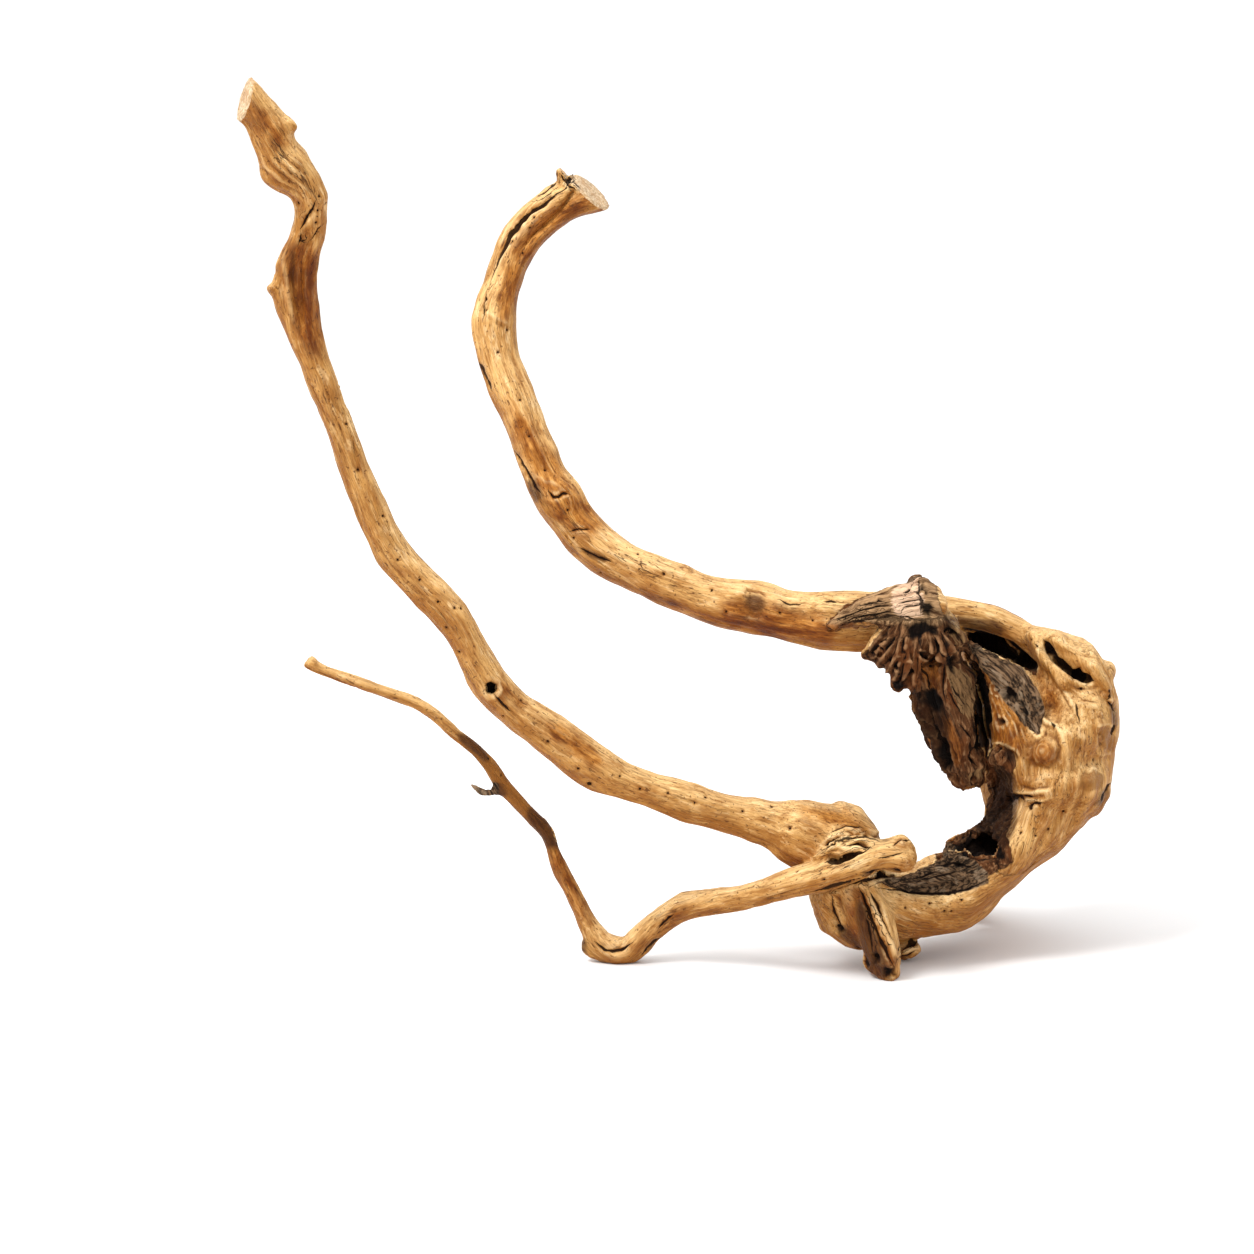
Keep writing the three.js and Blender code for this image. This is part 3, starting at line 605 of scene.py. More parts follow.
crack([(859, 886), (864, 898), (871, 916), (878, 934), (886, 950), (894, 968)], 1.2, 2.0)
crack([(870, 892), (877, 904), (882, 918)], 0.7, 1.0)
crack([(878, 916), (886, 926), (890, 940)], 0.4, 0.7)
crack([(866, 916), (870, 936), (872, 952)], 0.7, 1.0)
crack([(896, 952), (906, 946), (919, 940)], 1.6, 2.2)
crack([(897, 957), (908, 956), (914, 951)], 0.5, 0.9)
pit(875, 958, 1.1, 1.8)
pit(838, 927, 0.7, 1.2)
stain("stain_and_shade", [(876, 958), (892, 966), (892, 980), (876, 978), (868, 968)], 0.2)
pits([(812, 905), (824, 880), (948, 893), (955, 893), (945, 912), (952, 912), (796, 870),
      (930, 903), (906, 908), (962, 900)])

# The lower strip, which joins the neck to the burl, is bare light wood with a charred patch
# and a bowl where a root rotted away, with painted shade black in the bowl's hollow.
stain("char", [(876, 882), (896, 876), (914, 871), (930, 864), (941, 858), (945, 842), (956, 842),
               (965, 849), (976, 862), (988, 873), (989, 884), (968, 891), (950, 895), (914, 895)])
stain("rot", [(936, 852), (944, 832), (958, 826), (974, 822), (996, 826), (1008, 842), (1012, 862),
              (990, 874), (972, 872), (956, 868), (940, 868)], -0.6)
crack([(880, 888), (914, 892), (948, 892), (968, 888), (986, 881)], 0.7, 1.0)
crack([(890, 884), (916, 879), (940, 870)], 0.7, 1.0)
crack([(914, 885), (940, 878), (962, 872)], 0.6, 0.9)
crack([(936, 866), (954, 862), (974, 868)], 0.6, 0.9)
fold([(892, 880), (920, 874), (946, 862)], 1.8, 0.9)
fold([(918, 888), (946, 880), (972, 874)], 1.8, 0.9)
fold([(942, 846), (950, 854), (962, 858)], 1.8, 0.9)
fold([(965, 832), (976, 829), (988, 832)], 2.0, 1.0)
stain("rot", [(938, 846), (956, 832), (1000, 834), (1010, 850), (1004, 866), (976, 868), (954, 862)],
      0, (-20, 70))
stain("deep", [(948, 842), (962, 838), (984, 836), (1000, 842), (1008, 850), (1000, 856), (984, 857),
               (966, 855), (952, 850)], 0, (22, 80))
stain("deep", [(956, 838), (968, 832), (986, 835), (1000, 842), (1009, 852), (1004, 861), (984, 862),
               (966, 859), (952, 850)], 1.2)

# The burl is the knotted trunk of the root. Outer roots have grown into one another over it,
# a charred tongue and an amber strip cross its front, and its inner wall is rotted. Painted
# shade darkens the inner wall and the wood under the arm, and its slots and hollows are
# painted black as shade.
stain("rot", [(984, 752), (1000, 744), (1012, 752), (1016, 764), (1011, 778), (1014, 796), (1012, 816),
              (1004, 840), (1012, 862), (990, 868), (966, 866), (950, 848), (966, 826), (982, 812),
              (990, 794), (984, 776)])
stain("rot", [(974, 772), (1000, 760), (1012, 770), (1012, 816), (1006, 838), (984, 846), (962, 846),
              (960, 828), (980, 808)], 0, (-20, 66))
# Painted shade on the inner wall of the burl.
stain("stain_and_shade", [(1000, 770), (1012, 776), (1014, 800), (1012, 824), (1004, 846), (992, 846), (980, 830),
                (984, 806), (988, 786)], -1.5, (-20, 66))
stain("stain_and_shade", [(914, 690), (934, 690), (946, 712), (952, 770), (940, 772), (928, 744)], -0.4)
stain("rot", [(958, 640), (970, 656), (980, 670), (987, 690), (991, 716), (992, 746), (984, 768),
              (974, 752), (974, 700), (962, 668)])
stain("rot", [(954, 628), (972, 630), (1000, 640), (1016, 650), (1038, 664), (1036, 676), (1018, 664),
              (1002, 662), (984, 652), (964, 646)])
stain("char", [(966, 641), (984, 646), (1010, 655), (1029, 672), (1037, 700), (1042, 722), (1040, 735),
               (1030, 731), (1020, 722), (1010, 708), (998, 694), (984, 668), (972, 654)])
# The slot under the arm and the split beside it, painted black inside as shade.
stain("deep", [(964, 629), (985, 633), (1003, 639), (1013, 642), (1024, 652), (1037, 664), (1038, 672),
               (1028, 668), (1012, 660), (1004, 656), (990, 650), (972, 642)], 0, (33, 90))
stain("deep", [(1044, 641), (1049, 645), (1058, 658), (1067, 662), (1080, 668), (1090, 677), (1096, 682),
               (1084, 682), (1072, 678), (1062, 672), (1054, 662), (1047, 650)], 0, (24, 80))
crack([(1044, 641), (1050, 650), (1056, 659)], 1.1, 2.0)
crack([(1070, 671), (1080, 677), (1088, 680), (1094, 681)], 2.6, 3.0)
stain("deep", [(972, 664), (980, 670), (986, 690), (989, 716), (989, 748), (975, 750), (974, 720),
               (975, 690)], 0, (21, 80))
stain("amber", [(976, 664), (992, 676), (1004, 696), (1018, 716), (1030, 738), (1022, 752), (1008, 748),
                (994, 742), (988, 716), (982, 690)], -1.2)
stain("amber", [(1030, 740), (1044, 736), (1058, 744), (1058, 758), (1044, 766), (1030, 760)], 0.3)
stain("amber", [(1033, 674), (1048, 672), (1060, 690), (1066, 706), (1062, 722), (1048, 720),
                (1038, 704)], 1.2)
stain("bark", [(1099, 728), (1108, 726), (1115, 736), (1113, 750), (1102, 749)])
stain("bark", [(1078, 774), (1092, 770), (1106, 774), (1104, 790), (1088, 793), (1078, 788)], 0.5)
# Painted shade under the arm.
stain("stain_and_shade", [(943, 613), (968, 616), (994, 618), (1012, 630), (996, 636), (966, 630), (946, 628)], 0.4)
stain("stain_and_shade", [(1104, 788), (1110, 792), (1102, 806), (1096, 806)])
stain("stain_and_shade", [(1108, 702), (1114, 704), (1117, 726), (1112, 724)])
fold([(940, 612), (960, 614), (980, 617), (1000, 622)], 1.5, -0.6)
crack([(965, 655), (975, 670), (981, 693), (985, 708), (985, 745), (988, 766)], 2.2, 2.4)
# Folds of the outer roots, where they come over the top.
fold([(1062, 638), (1074, 644), (1086, 646)], 2.4, -0.7)
fold([(1072, 641), (1082, 640), (1090, 646), (1096, 652)], 2.2, 0.8)
for i in range(4):
    fold([(1052 + 3 * i, 648 - 2 * i), (1066 + 2 * i, 654 - i), (1084 + 2 * i, 662 - 2 * i),
          (1100, 664 - 2 * i)], 1.5, -0.45)
fold([(1047, 652), (1055, 666), (1068, 678), (1084, 684), (1100, 683)], 1.8, 0.7)
fold([(1066, 683), (1078, 689), (1092, 689), (1104, 684)], 1.3, -0.6)
fold([(1068, 688), (1080, 694), (1096, 692)], 1.6, 0.4)
fold([(1072, 692), (1084, 700), (1098, 702), (1108, 700)], 1.3, -0.6)
fold([(1074, 700), (1086, 706), (1098, 706)], 1.8, 0.5)
fold([(1024, 680), (1033, 690), (1037, 704), (1041, 716), (1047, 723), (1056, 726), (1061, 734),
      (1064, 744)], 2.0, 2.2)
fold([(1014, 702), (1020, 716), (1028, 728), (1036, 737), (1043, 734), (1043, 724)], 1.2, 0.9)
# The round scar in the middle, with a trough and rings round it.
fold([(1040, 737), (1046, 733), (1056, 737), (1061, 748), (1058, 760), (1048, 768), (1034, 766),
      (1029, 756), (1031, 744), (1040, 737)], 2.4, -1.1, 0.05)
fold([(1043, 752), (1044, 753)], 9.0, 1.3, 0.01)
for radius in (4, 8):
    fold([(1043 + radius * math.cos(0.7 * turn), 751 + 1.15 * radius * math.sin(0.7 * turn))
          for turn in range(10)], 0.9, -0.35, 0.02)
fold([(1052, 670), (1062, 684), (1070, 700), (1078, 716)], 3.0, 1.0)
fold([(1059, 686), (1064, 696), (1073, 711), (1077, 722)], 1.3, -0.8)
fold([(1049, 690), (1054, 704), (1058, 716)], 4.0, -1.0)
crack([(1076, 704), (1077, 713), (1080, 722)], 0.6, 0.8)
stain("stain_and_shade", [(1046, 703), (1051, 702), (1054, 708), (1049, 711)], 0.3)
knot(1104, 694, 2.4, 0.8, 1)
knot(1101, 714, 2.0, 0.7, 1)
crack([(1109, 689), (1111, 694), (1109, 699)], 0.9, 1.0)
crack([(1107, 701), (1112, 705), (1115, 712)], 1.0, 1.2)
crack([(1114, 724), (1115, 730), (1112, 736)], 1.0, 1.2)
crack([(1053, 724), (1055, 727), (1057, 728)], 0.9, 1.0)
pit(1082, 689, 0.6)
knot(995, 690, 2.6, 0.7, 2)
knot(1001, 722, 3.0, -0.8, 1)
stain("deep", [(996, 719), (1001, 716), (1006, 721), (1003, 727), (997, 726)], 0.5)
for i in range(4):
    fold([(984 + 5 * i, 676 + 4 * i), (990 + 6 * i, 700 + 3 * i), (998 + 6 * i, 722),
          (1006 + 6 * i, 744)], 1.4, -0.6)
fold([(988, 742), (1003, 744), (1014, 749), (1020, 757)], 2.0, 1.0)
fold([(1002, 747), (1014, 753), (1018, 764)], 1.6, -0.8)
knot(1043, 751, 5.6, 0.3, 1)
for i in range(3):
    fold([(1024 + 3 * i, 744 - i), (1024 + 3 * i, 760), (1030 + 3 * i, 772 - i)], 1.2, -0.4)
fold([(1014, 776), (1036, 780), (1062, 774)], 4.6, 0.9)
fold([(1016, 786), (1032, 789), (1052, 785)], 1.8, -0.8)
fold([(1012, 791), (1030, 793), (1056, 790)], 2.2, 1.2)
fold([(1024, 799), (1040, 801), (1054, 796)], 1.8, 1.0)
crack([(1010, 794), (1022, 796), (1034, 796)], 0.8, 1.0)
crack([(1006, 800), (1012, 799), (1018, 799)], 1.6, 1.6)
crack([(1026, 806), (1034, 803), (1044, 803)], 0.7, 1.0)
pit(1019, 799, 1.4, 2.0)
pit(1029, 807, 1.1, 1.6)
knot(1088, 780, 3.4, 0.5, 1)
fold([(1094, 729), (1098, 726), (1106, 724), (1115, 727)], 1.6, 0.7)
fold([(1100, 730), (1099, 740), (1101, 750)], 1.3, -0.8)
fold([(1104, 729), (1104, 740), (1106, 750)], 1.0, 0.5)
fold([(1109, 729), (1109, 740), (1110, 750)], 1.0, -0.5)
fold([(1092, 752), (1102, 755), (1114, 752)], 1.8, 0.6)
fold([(1076, 766), (1088, 770), (1102, 770)], 1.8, 0.6)
crack([(1110, 782), (1107, 792), (1101, 802)], 0.9, 1.0)
# Long folds down the outer roots, then wrinkles, holes and hollows.
for i in range(6):
    fold([(1062 + 9 * i, 720 + 3 * i), (1068 + 6 * i, 756), (1064 + 7 * i, 790), (1046 + 8 * i, 824),
          (1018 + 8 * i, 862)], 3.0, 0.45 * (-1) ** i)
fold([(1060, 728), (1076, 738), (1092, 736)], 4.0, 0.9)
stain("wrinkled", [(1008, 770), (1060, 770), (1110, 690), (1116, 740), (1080, 820), (1020, 880),
                   (1010, 820)], 1)
pits([(1016, 700), (1034, 684), (1064, 812), (1050, 830), (1094, 760), (1036, 836), (1020, 832),
      (1030, 640), (1026, 645), (1037, 646)], 0.35)
pit(1009, 695, 2.0, 2.4)
stain("deep", [(1003, 690), (1010, 688), (1017, 694), (1014, 702), (1006, 700)], 0.2)
stain("deep", [(1018, 700), (1024, 700), (1030, 716), (1026, 718), (1020, 708)], 0.5)
stain("stain_and_shade", [(1000, 740), (1012, 744), (1018, 756), (1014, 766), (1006, 760)], 0.4)

# The back, which the photograph does not show, has weathered in the same way. It has amber and
# dark patches, dry checks, beetle holes and some open cracks along the grain.
behind = rise(-facing, -0.15, 0.15)
for name, across, along, least, seed in (("amber", 14, 45, 0.05, 45), ("wrinkled", 12, 40, -0.1, 40),
                                         ("stain_and_shade", 7, 30, 0.42, 30)):
    patches = 10 * (streaks(across, along, seed) - least) - 8 * (1 - behind)
    stains[name] = np.maximum(stains[name], np.clip(patches, OUTSIDE, -OUTSIDE))
seam = 6 * streaks(6, 60, 43)
gaping = behind * rise(streaks(14, 50, 44), 0.15, 0.45)
relief -= 1.3 * gaping * np.exp(-(seam / 0.8) ** 2)
closer = (gaping > 0.05) & (np.abs(seam) < np.abs(crack_side))
crack_side[closer] = seam[closer]
crack_width[closer] = (0.36 * gaping - 0.1)[closer]
HOLES_BEHIND = 90
HOLE_RADII = (0.28, 0.5)
draw = np.random.default_rng(7)
for i in draw.choice(np.flatnonzero(behind == 1), HOLES_BEHIND, replace=False):
    bored(points[i], draw.uniform(*HOLE_RADII), 0.9)

# The rotted root hangs inside the burl's bend: a broken stub, a fringe of fibres under it,
# and a thick slab. The wood has gone soft and brown and weathered away between its fibres.
STUB_BEGINS = 826
STUB_ENDS = 624
rotted = np.isin(nearest_side, [list(side_courses).index(name) for name in ("stub", "slab")])
rotted_depth = np.where(rotted & (x > STUB_BEGINS), 8 * (side - 0.5), OUTSIDE)
hidden = np.where((facing > 0) & (open_to_eye > 0.5), OUTSIDE, rotted_depth)
stains["rot"] = np.maximum(stains["rot"], spread(hidden, 2))
stain("rot", [
    (826, 622), (845, 606), (868, 594), (890, 590), (903, 579), (916, 571), (927, 571), (935, 582),
    (939, 600), (943, 614), (952, 622), (960, 634), (970, 640), (974, 652), (982, 664), (988, 684),
    (991, 710), (991, 748), (986, 768), (992, 782), (975, 786), (950, 792), (942, 778), (930, 762),
    (922, 735), (914, 712), (904, 694), (886, 694), (882, 680), (864, 668), (858, 656), (872, 645),
    (884, 630), (870, 624), (845, 628), (828, 633)])
# The fringe: ribbons with gaps between them, holes through it and threads across it.
folds(([(884, 628), (880, 638), (872, 646), (864, 656)],
       [(890, 626), (888, 640), (878, 650), (872, 662)],
       [(896, 626), (894, 638), (888, 652), (878, 664), (880, 672)],
       [(902, 628), (898, 644), (898, 656), (888, 668), (886, 680)],
       [(906, 632), (906, 646), (900, 660), (896, 676), (888, 688)],
       [(910, 640), (908, 654), (908, 668), (902, 682), (898, 692)],
       [(914, 636), (914, 652), (912, 666), (914, 684), (908, 690)],
       [(920, 640), (918, 656), (926, 660), (932, 652), (930, 640)]), 1.7, 1.5, (4, 1), 1.5, -1.5)
folds(([(944, 621), (952, 626), (960, 634), (966, 641), (964, 650)],
       [(942, 626), (944, 636), (950, 646), (956, 652), (960, 662)],
       [(936, 628), (937, 640), (942, 652), (950, 658)],
       [(930, 630), (930, 644), (934, 656), (944, 664)]), 1.8, 1.6, (-1, 4), 1.6, -1.6)
for px, py in ((866, 650), (873, 655), (881, 648), (889, 660), (897, 668), (904, 652), (900, 680),
               (912, 672), (948, 631), (953, 634), (938, 646), (922, 657), (930, 666), (956, 648)):
    bored(nearest_to(px, py), 0.55, 1.8)
for path in ([(868, 660), (876, 656), (882, 660)], [(884, 674), (892, 668), (900, 672)],
             [(892, 688), (900, 684), (907, 688)],
             [(916, 652), (922, 650), (928, 654), (926, 660), (918, 660)],
             [(876, 642), (884, 646), (890, 642)], [(900, 664), (908, 660), (914, 666)]):
    fold(path, 1.3, 1.3)
# The slab's long ridges and the furrow between them.
fold([(906, 690), (918, 712), (928, 738), (936, 762), (948, 784)], 2.6, 1.4)
fold([(920, 690), (930, 720), (942, 750), (952, 780)], 3.0, -2.2)
fold([(940, 664), (947, 700), (958, 736), (966, 768)], 2.6, 1.4)
fold([(962, 660), (976, 684), (980, 712), (974, 738)], 2.4, 1.4)
fold([(966, 772), (978, 766), (990, 764)], 3.0, 1.4)
fold([(916, 696), (921, 699), (922, 706), (917, 710)], 1.6, 1.2)
fold([(969, 656), (980, 664), (992, 676)], 1.8, 1.4)
# Cracks down the slab, then along the stub.
for path in ([(951, 684), (957, 694), (966, 706)], [(948, 690), (954, 702), (962, 714)],
             [(930, 724), (938, 744), (946, 764)], [(960, 724), (970, 736), (972, 756)],
             [(922, 660), (926, 676), (928, 692)], [(944, 664), (943, 684), (946, 704)],
             [(974, 748), (970, 758), (976, 766)]):
    crack(path, 0.6, 1.2)
for path in ([(834, 620), (856, 612), (880, 606), (894, 606)], [(840, 624), (868, 616), (900, 614)],
             [(858, 606), (872, 600), (886, 600)], [(896, 595), (908, 593), (918, 592)],
             [(898, 604), (910, 601), (922, 599)], [(903, 609), (912, 607), (922, 605)],
             [(903, 589), (907, 587), (910, 586)], [(836, 628), (866, 622), (900, 619), (922, 620)]):
    crack(path, 0.6, 1.3)
crack([(919, 578), (917, 590), (922, 600), (921, 616)], 1.0, 1.4)
# What the weather wore smooth, the russet places, and the hollows, painted black as shade.
stain("worn", [(892, 594), (902, 580), (919, 576), (916, 590), (923, 600), (921, 614), (903, 618),
               (894, 610)], -0.4)
stain("worn", [(946, 668), (958, 664), (970, 672), (978, 692), (979, 712), (972, 722), (958, 712),
               (948, 690)], 1.0)
stain("worn", [(968, 774), (980, 768), (990, 768), (984, 776), (970, 782)], 0.4)
stain("worn", [(944, 620), (954, 624), (967, 640), (963, 650), (952, 640)], 0.6)
stain("amber", [(919, 660), (938, 662), (940, 690), (926, 692)], 0.2)
stain("amber", [(938, 716), (952, 722), (962, 744), (960, 770), (950, 766), (944, 744)], 0.2)
for outline in ([(919, 583), (924, 582), (925, 588), (920, 588)], [(926, 586), (930, 590), (927, 594)],
                [(922, 604), (931, 603), (934, 610), (930, 617), (923, 615)],
                [(904, 625), (926, 620), (938, 626), (938, 636), (926, 634), (912, 640), (906, 634)],
                [(922, 692), (936, 690), (942, 700), (940, 712), (930, 714), (923, 704)],
                [(938, 736), (946, 742), (952, 768), (944, 770), (936, 752)],
                [(976, 672), (984, 690), (988, 716), (988, 746), (976, 748), (974, 728), (982, 712),
                 (980, 690)],
                [(886, 682), (908, 682), (906, 692), (890, 693)], [(918, 652), (927, 652), (926, 660)],
                [(948, 652), (958, 656), (956, 672), (946, 668)]):
    stain("deep", outline)
# The fibres fan out below the stub, run along the stub and hang down elsewhere.
fan = rise(within([(878, 622), (944, 618), (970, 634), (968, 658), (950, 668), (926, 664), (914, 694),
                   (886, 694), (878, 682), (856, 664), (858, 650)]), -0.6, 0.8)
FAN_TOP = (926, 586)
FAN_TURN = 26
turned = np.arctan2(x - FAN_TOP[0], y - FAN_TOP[1]) * FAN_TURN
fan_grain = np.stack([turned + 2.2 * noise(points / 7, 33), depth_seen,
                      np.hypot(x - FAN_TOP[0], y - FAN_TOP[1]) * MM], 1)
rotten = rise(stains["rot"], -0.6, 1.5)
bent = points + 5 * np.stack([noise(points / 15, seed) for seed in (11, 12, 13)], 1)
down = bent * (1 / 4.2, 1 / 4.2, 1 / 22)
ridges = 1 - 2 * np.abs(noise(down, 14))
ridges += 0.5 * (1 - 2 * np.abs(noise(down * 2.1, 15)))
ridges += 0.3 * (1 - 2 * np.abs(noise(bent / 2.6, 16)))
along_stub = side_grain + 3 * np.stack([noise(points / 12, seed) for seed in (17, 18, 19)], 1)
along_stub = along_stub * (1 / 3.6, 1 / 3.6, 1 / 26)
stub_ridges = 1 - 2 * np.abs(noise(along_stub, 20)) + 0.5 * (1 - 2 * np.abs(noise(along_stub * 2, 21)))
on_stub = rise((nearest_side == list(side_courses).index("stub")) * side, 0.3, 0.8)
on_stub = spread(on_stub * (y < STUB_ENDS), 3)
ridges = ridges * (1 - on_stub) + stub_ridges * on_stub
fan_ridges = 1 - 2 * np.abs(noise(fan_grain / (3.0, 6.0, 22), 34))
ridges = ridges * (1 - fan) + fan_ridges * fan
bold = 1.5 * (1 - on_stub) * (1 - 0.5 * fan) + 0.8 * on_stub
relief += rotten * (bold * (ridges - 1.2) + 1.2 * noise(points / 7, 22))
fibre = np.where(fan[:, None] > 0.5, fan_grain, side_grain)
# Charred wood is finely furrowed and sunk a little, and the hollows are sunk further.
charred = rise(stains["char"], -0.5, 1)
relief += charred * (0.5 * streaks(1.6, 16, 23) - 0.3)
deep_down = rise(stains["deep"], -0.8, 0.8)
relief -= 1.4 * deep_down

# The relief moves the skin in and out, and nothing of it goes below the ground. The material
# then reads from the vertices the narrow grooves and the broad dips, for painted shade in them
# and painted highlights on the rises, and what faces down, for painted shade beneath.
points += out * relief[:, None]
points[:, 2] = np.maximum(points[:, 2], 0)
wood.data.vertices.foreach_set("co", (points / 1000).ravel())
out = normals()
broadly = spread(relief, 5)
groove = broadly - relief
dip = spread(broadly, 40) - broadly
under = rise(-spread(out, 6)[:, 2], -0.45, 0.75)


def mark(name, values):
    """Keeps a value or a vector on each vertex for the material to read."""
    kind = "FLOAT_VECTOR" if values.ndim == 2 else "FLOAT"
    field = "vector" if values.ndim == 2 else "value"
    attribute = wood.data.attributes.new(name, kind, "POINT")
    attribute.data.foreach_set(field, values.astype(np.float32).ravel())


mark("grain", main_grain / 1000)
mark("side_grain", side_grain / 1000)
mark("fibre", fibre / 1000)
mark("side", side)
# What faces up, for painted light on the tops.
mark("over", rise(spread(out, 4)[:, 2], -0.1, 0.9))
mark("groove", groove)
mark("under", under)
mark("dip", dip)
mark("crack_side", crack_side)
mark("crack_width", crack_width)
mark("pit_from", pit_from)
mark("pit_size", pit_size)
mark("knot_from", knot_from)
mark("knot_size", knot_size)
mark("stub", on_stub)
for name, depth in stains.items():
    mark(name, depth)

MOST_TRIANGLES = 190000
thin = wood.modifiers.new("thin", "DECIMATE")
thin.ratio = min(1, MOST_TRIANGLES / (2 * len(wood.data.polygons)))
made_real(wood)


def paint(red, green, blue):
    """A colour as it is seen on a screen, 0 to 255, as the light values that shaders take."""
    return tuple((v / 255 / 12.92 if v <= 10 else ((v / 255 + 0.055) / 1.055) ** 2.4)
                 for v in (red, green, blue)) + (1,)


class Finish:
    """A material and its nodes, put in one by one."""

    def __init__(self, name):
        self.material = bpy.data.materials.new(name)
        self.material.use_nodes = True
        self.tree = self.material.node_tree
        self.shader = self.tree.nodes["Principled BSDF"]

    def node(self, kind, inputs=(), **settings):
        """A new node with values or other nodes' results put into its inputs."""
        made = self.tree.nodes.new(kind)
        for key, value in settings.items():
            setattr(made, key, value)
        for key, value in dict(inputs).items():
            self.feed(made.inputs[key], value)
        return made

    def feed(self, socket, value):
        if isinstance(value, bpy.types.NodeSocket):
            self.tree.links.new(value, socket)
        else:
            socket.default_value = value

    def value(self, name, kind="Fac"):
        """What was kept on the vertices under that name."""
        return self.node("ShaderNodeAttribute", attribute_name=name).outputs[kind]

    def math(self, operation, a, b=0.0, c=0.0):
        return self.node("ShaderNodeMath", {0: a, 1: b, 2: c}, operation=operation).outputs[0]

    def blend(self, share, a, b, how="MIX"):
        made = self.node("ShaderNodeMix", {0: share, 6: a, 7: b}, data_type="RGBA", blend_type=how)
        return made.outputs[2]

    def between(self, value, low, high, to_low=0.0, to_high=1.0):
        """A smooth rise from one result to another, as a value goes from low to high."""
        made = self.node("ShaderNodeMapRange", {0: value, 1: low, 2: high, 3: to_low, 4: to_high},
                         interpolation_type="SMOOTHSTEP")
        return made.outputs[0]

    def grade(self, value, low, high, first, last):
        """A colour that goes from the first to the last as a value goes from low to high."""
        return self.blend(self.between(value, low, high), paint(*first), paint(*last))

    def tint(self, base, value, low, high, most, colour):
        """Lays up to that much of a colour over the base, as a value goes from low to high."""
        return self.blend(self.between(value, low, high, 0, most), base, paint(*colour))

    def lay(self, share, base, colour, most=1.0):
        """Lays a colour over the base by a share, and by that much where the share is 1."""
        return self.blend(self.math("MULTIPLY", share, most), base, paint(*colour))


finish = Finish("bare_root_wood")
place = finish.node("ShaderNodeTexCoord").outputs["Object"]


def grain_noise(across, along, detail=2.0, roughness=0.5):
    """Noise in the material drawn out along the grain, its scales in millimetres."""
    found = []
    for name in ("grain", "side_grain"):
        at = finish.node("ShaderNodeMapping", {
            "Vector": finish.value(name, "Vector"),
            "Scale": (1000 / across, 1000 / across, 1000 / along)})
        found.append(finish.node("ShaderNodeTexNoise", {
            "Vector": at.outputs[0], "Scale": 1.0, "Detail": detail,
            "Roughness": roughness}).outputs["Fac"])
    return finish.node("ShaderNodeMix", {0: finish.value("side"), 2: found[0], 3: found[1]}).outputs[0]


def cloud(size, detail=2.0, roughness=0.5):
    """Noise in the material with blotches of that size in millimetres."""
    return finish.node("ShaderNodeTexNoise", {
        "Vector": place, "Scale": 1000 / size, "Detail": detail, "Roughness": roughness}).outputs["Fac"]


def inside(name, edge, ragged, sharp=0.5):
    """How far a stain covers the wood, with a ragged edge: edge is the noise that frays it."""
    frayed_by = finish.math("MULTIPLY_ADD", edge, 2 * ragged, -ragged)
    return finish.between(finish.math("ADD", finish.value(name), frayed_by), -sharp, sharp)


def span(name):
    """The length in millimetres of the way from a pit or a knot."""
    return finish.node("ShaderNodeVectorMath", {0: finish.value(name, "Vector")},
                       operation="LENGTH").outputs["Value"]


# Bare wood is honey brown, with painted light making it paler on top and painted shade making
# it darker beneath. It has darker lines of grain, small blotches and dashes, amber patches,
# and thin dry checks along the grain.
broad = grain_noise(7, 60, 3)
lines = grain_noise(0.9, 16, 3, 0.6)
fine = grain_noise(0.35, 5, 2, 0.6)
dashes = grain_noise(0.8, 4, 1)
mottle = grain_noise(3.2, 11, 3, 0.6)
in_dip = finish.value("dip")
in_groove = finish.value("groove")
surface = finish.grade(broad, 0.36, 0.64, (186, 134, 68), (220, 172, 106))
surface = finish.tint(surface, cloud(14, 3, 0.55), 0.45, 0.64, 0.7, (176, 120, 54))
# Painted light: what faces up is paler.
surface = finish.lay(finish.value("over"), surface, (240, 198, 136), 0.75)
surface = finish.tint(surface, mottle, 0.5, 0.68, 0.65, (158, 102, 42))
surface = finish.tint(surface, mottle, 0.45, 0.3, 0.7, (246, 210, 156))
# Painted shade in the broad dips, and painted highlights on the broad rises.
surface = finish.tint(surface, in_dip, 0.05, 0.8, 0.65, (150, 98, 42))
surface = finish.tint(surface, in_dip, -0.05, -0.8, 0.6, (246, 208, 152))
surface = finish.tint(surface, lines, 0.52, 0.28, 0.6, (134, 84, 34))
surface = finish.tint(surface, lines, 0.56, 0.7, 0.45, (248, 212, 156))
surface = finish.tint(surface, fine, 0.56, 0.3, 0.42, (122, 74, 28))
surface = finish.tint(surface, dashes, 0.34, 0.25, 0.8, (88, 48, 18))
honey = finish.grade(mottle, 0.35, 0.65, (218, 186, 136), (168, 130, 76))
honey = finish.blend(1.0, surface, honey, "MULTIPLY")
surface = finish.blend(inside("amber", cloud(7, 3), 3.2, 3.0), surface, honey)
# Painted shade in the narrow grooves, and painted highlights on the ridges.
surface = finish.tint(surface, in_groove, 0.0, 0.45, 0.85, (98, 54, 20))
surface = finish.tint(surface, in_groove, 0.0, -0.4, 0.5, (255, 224, 170))
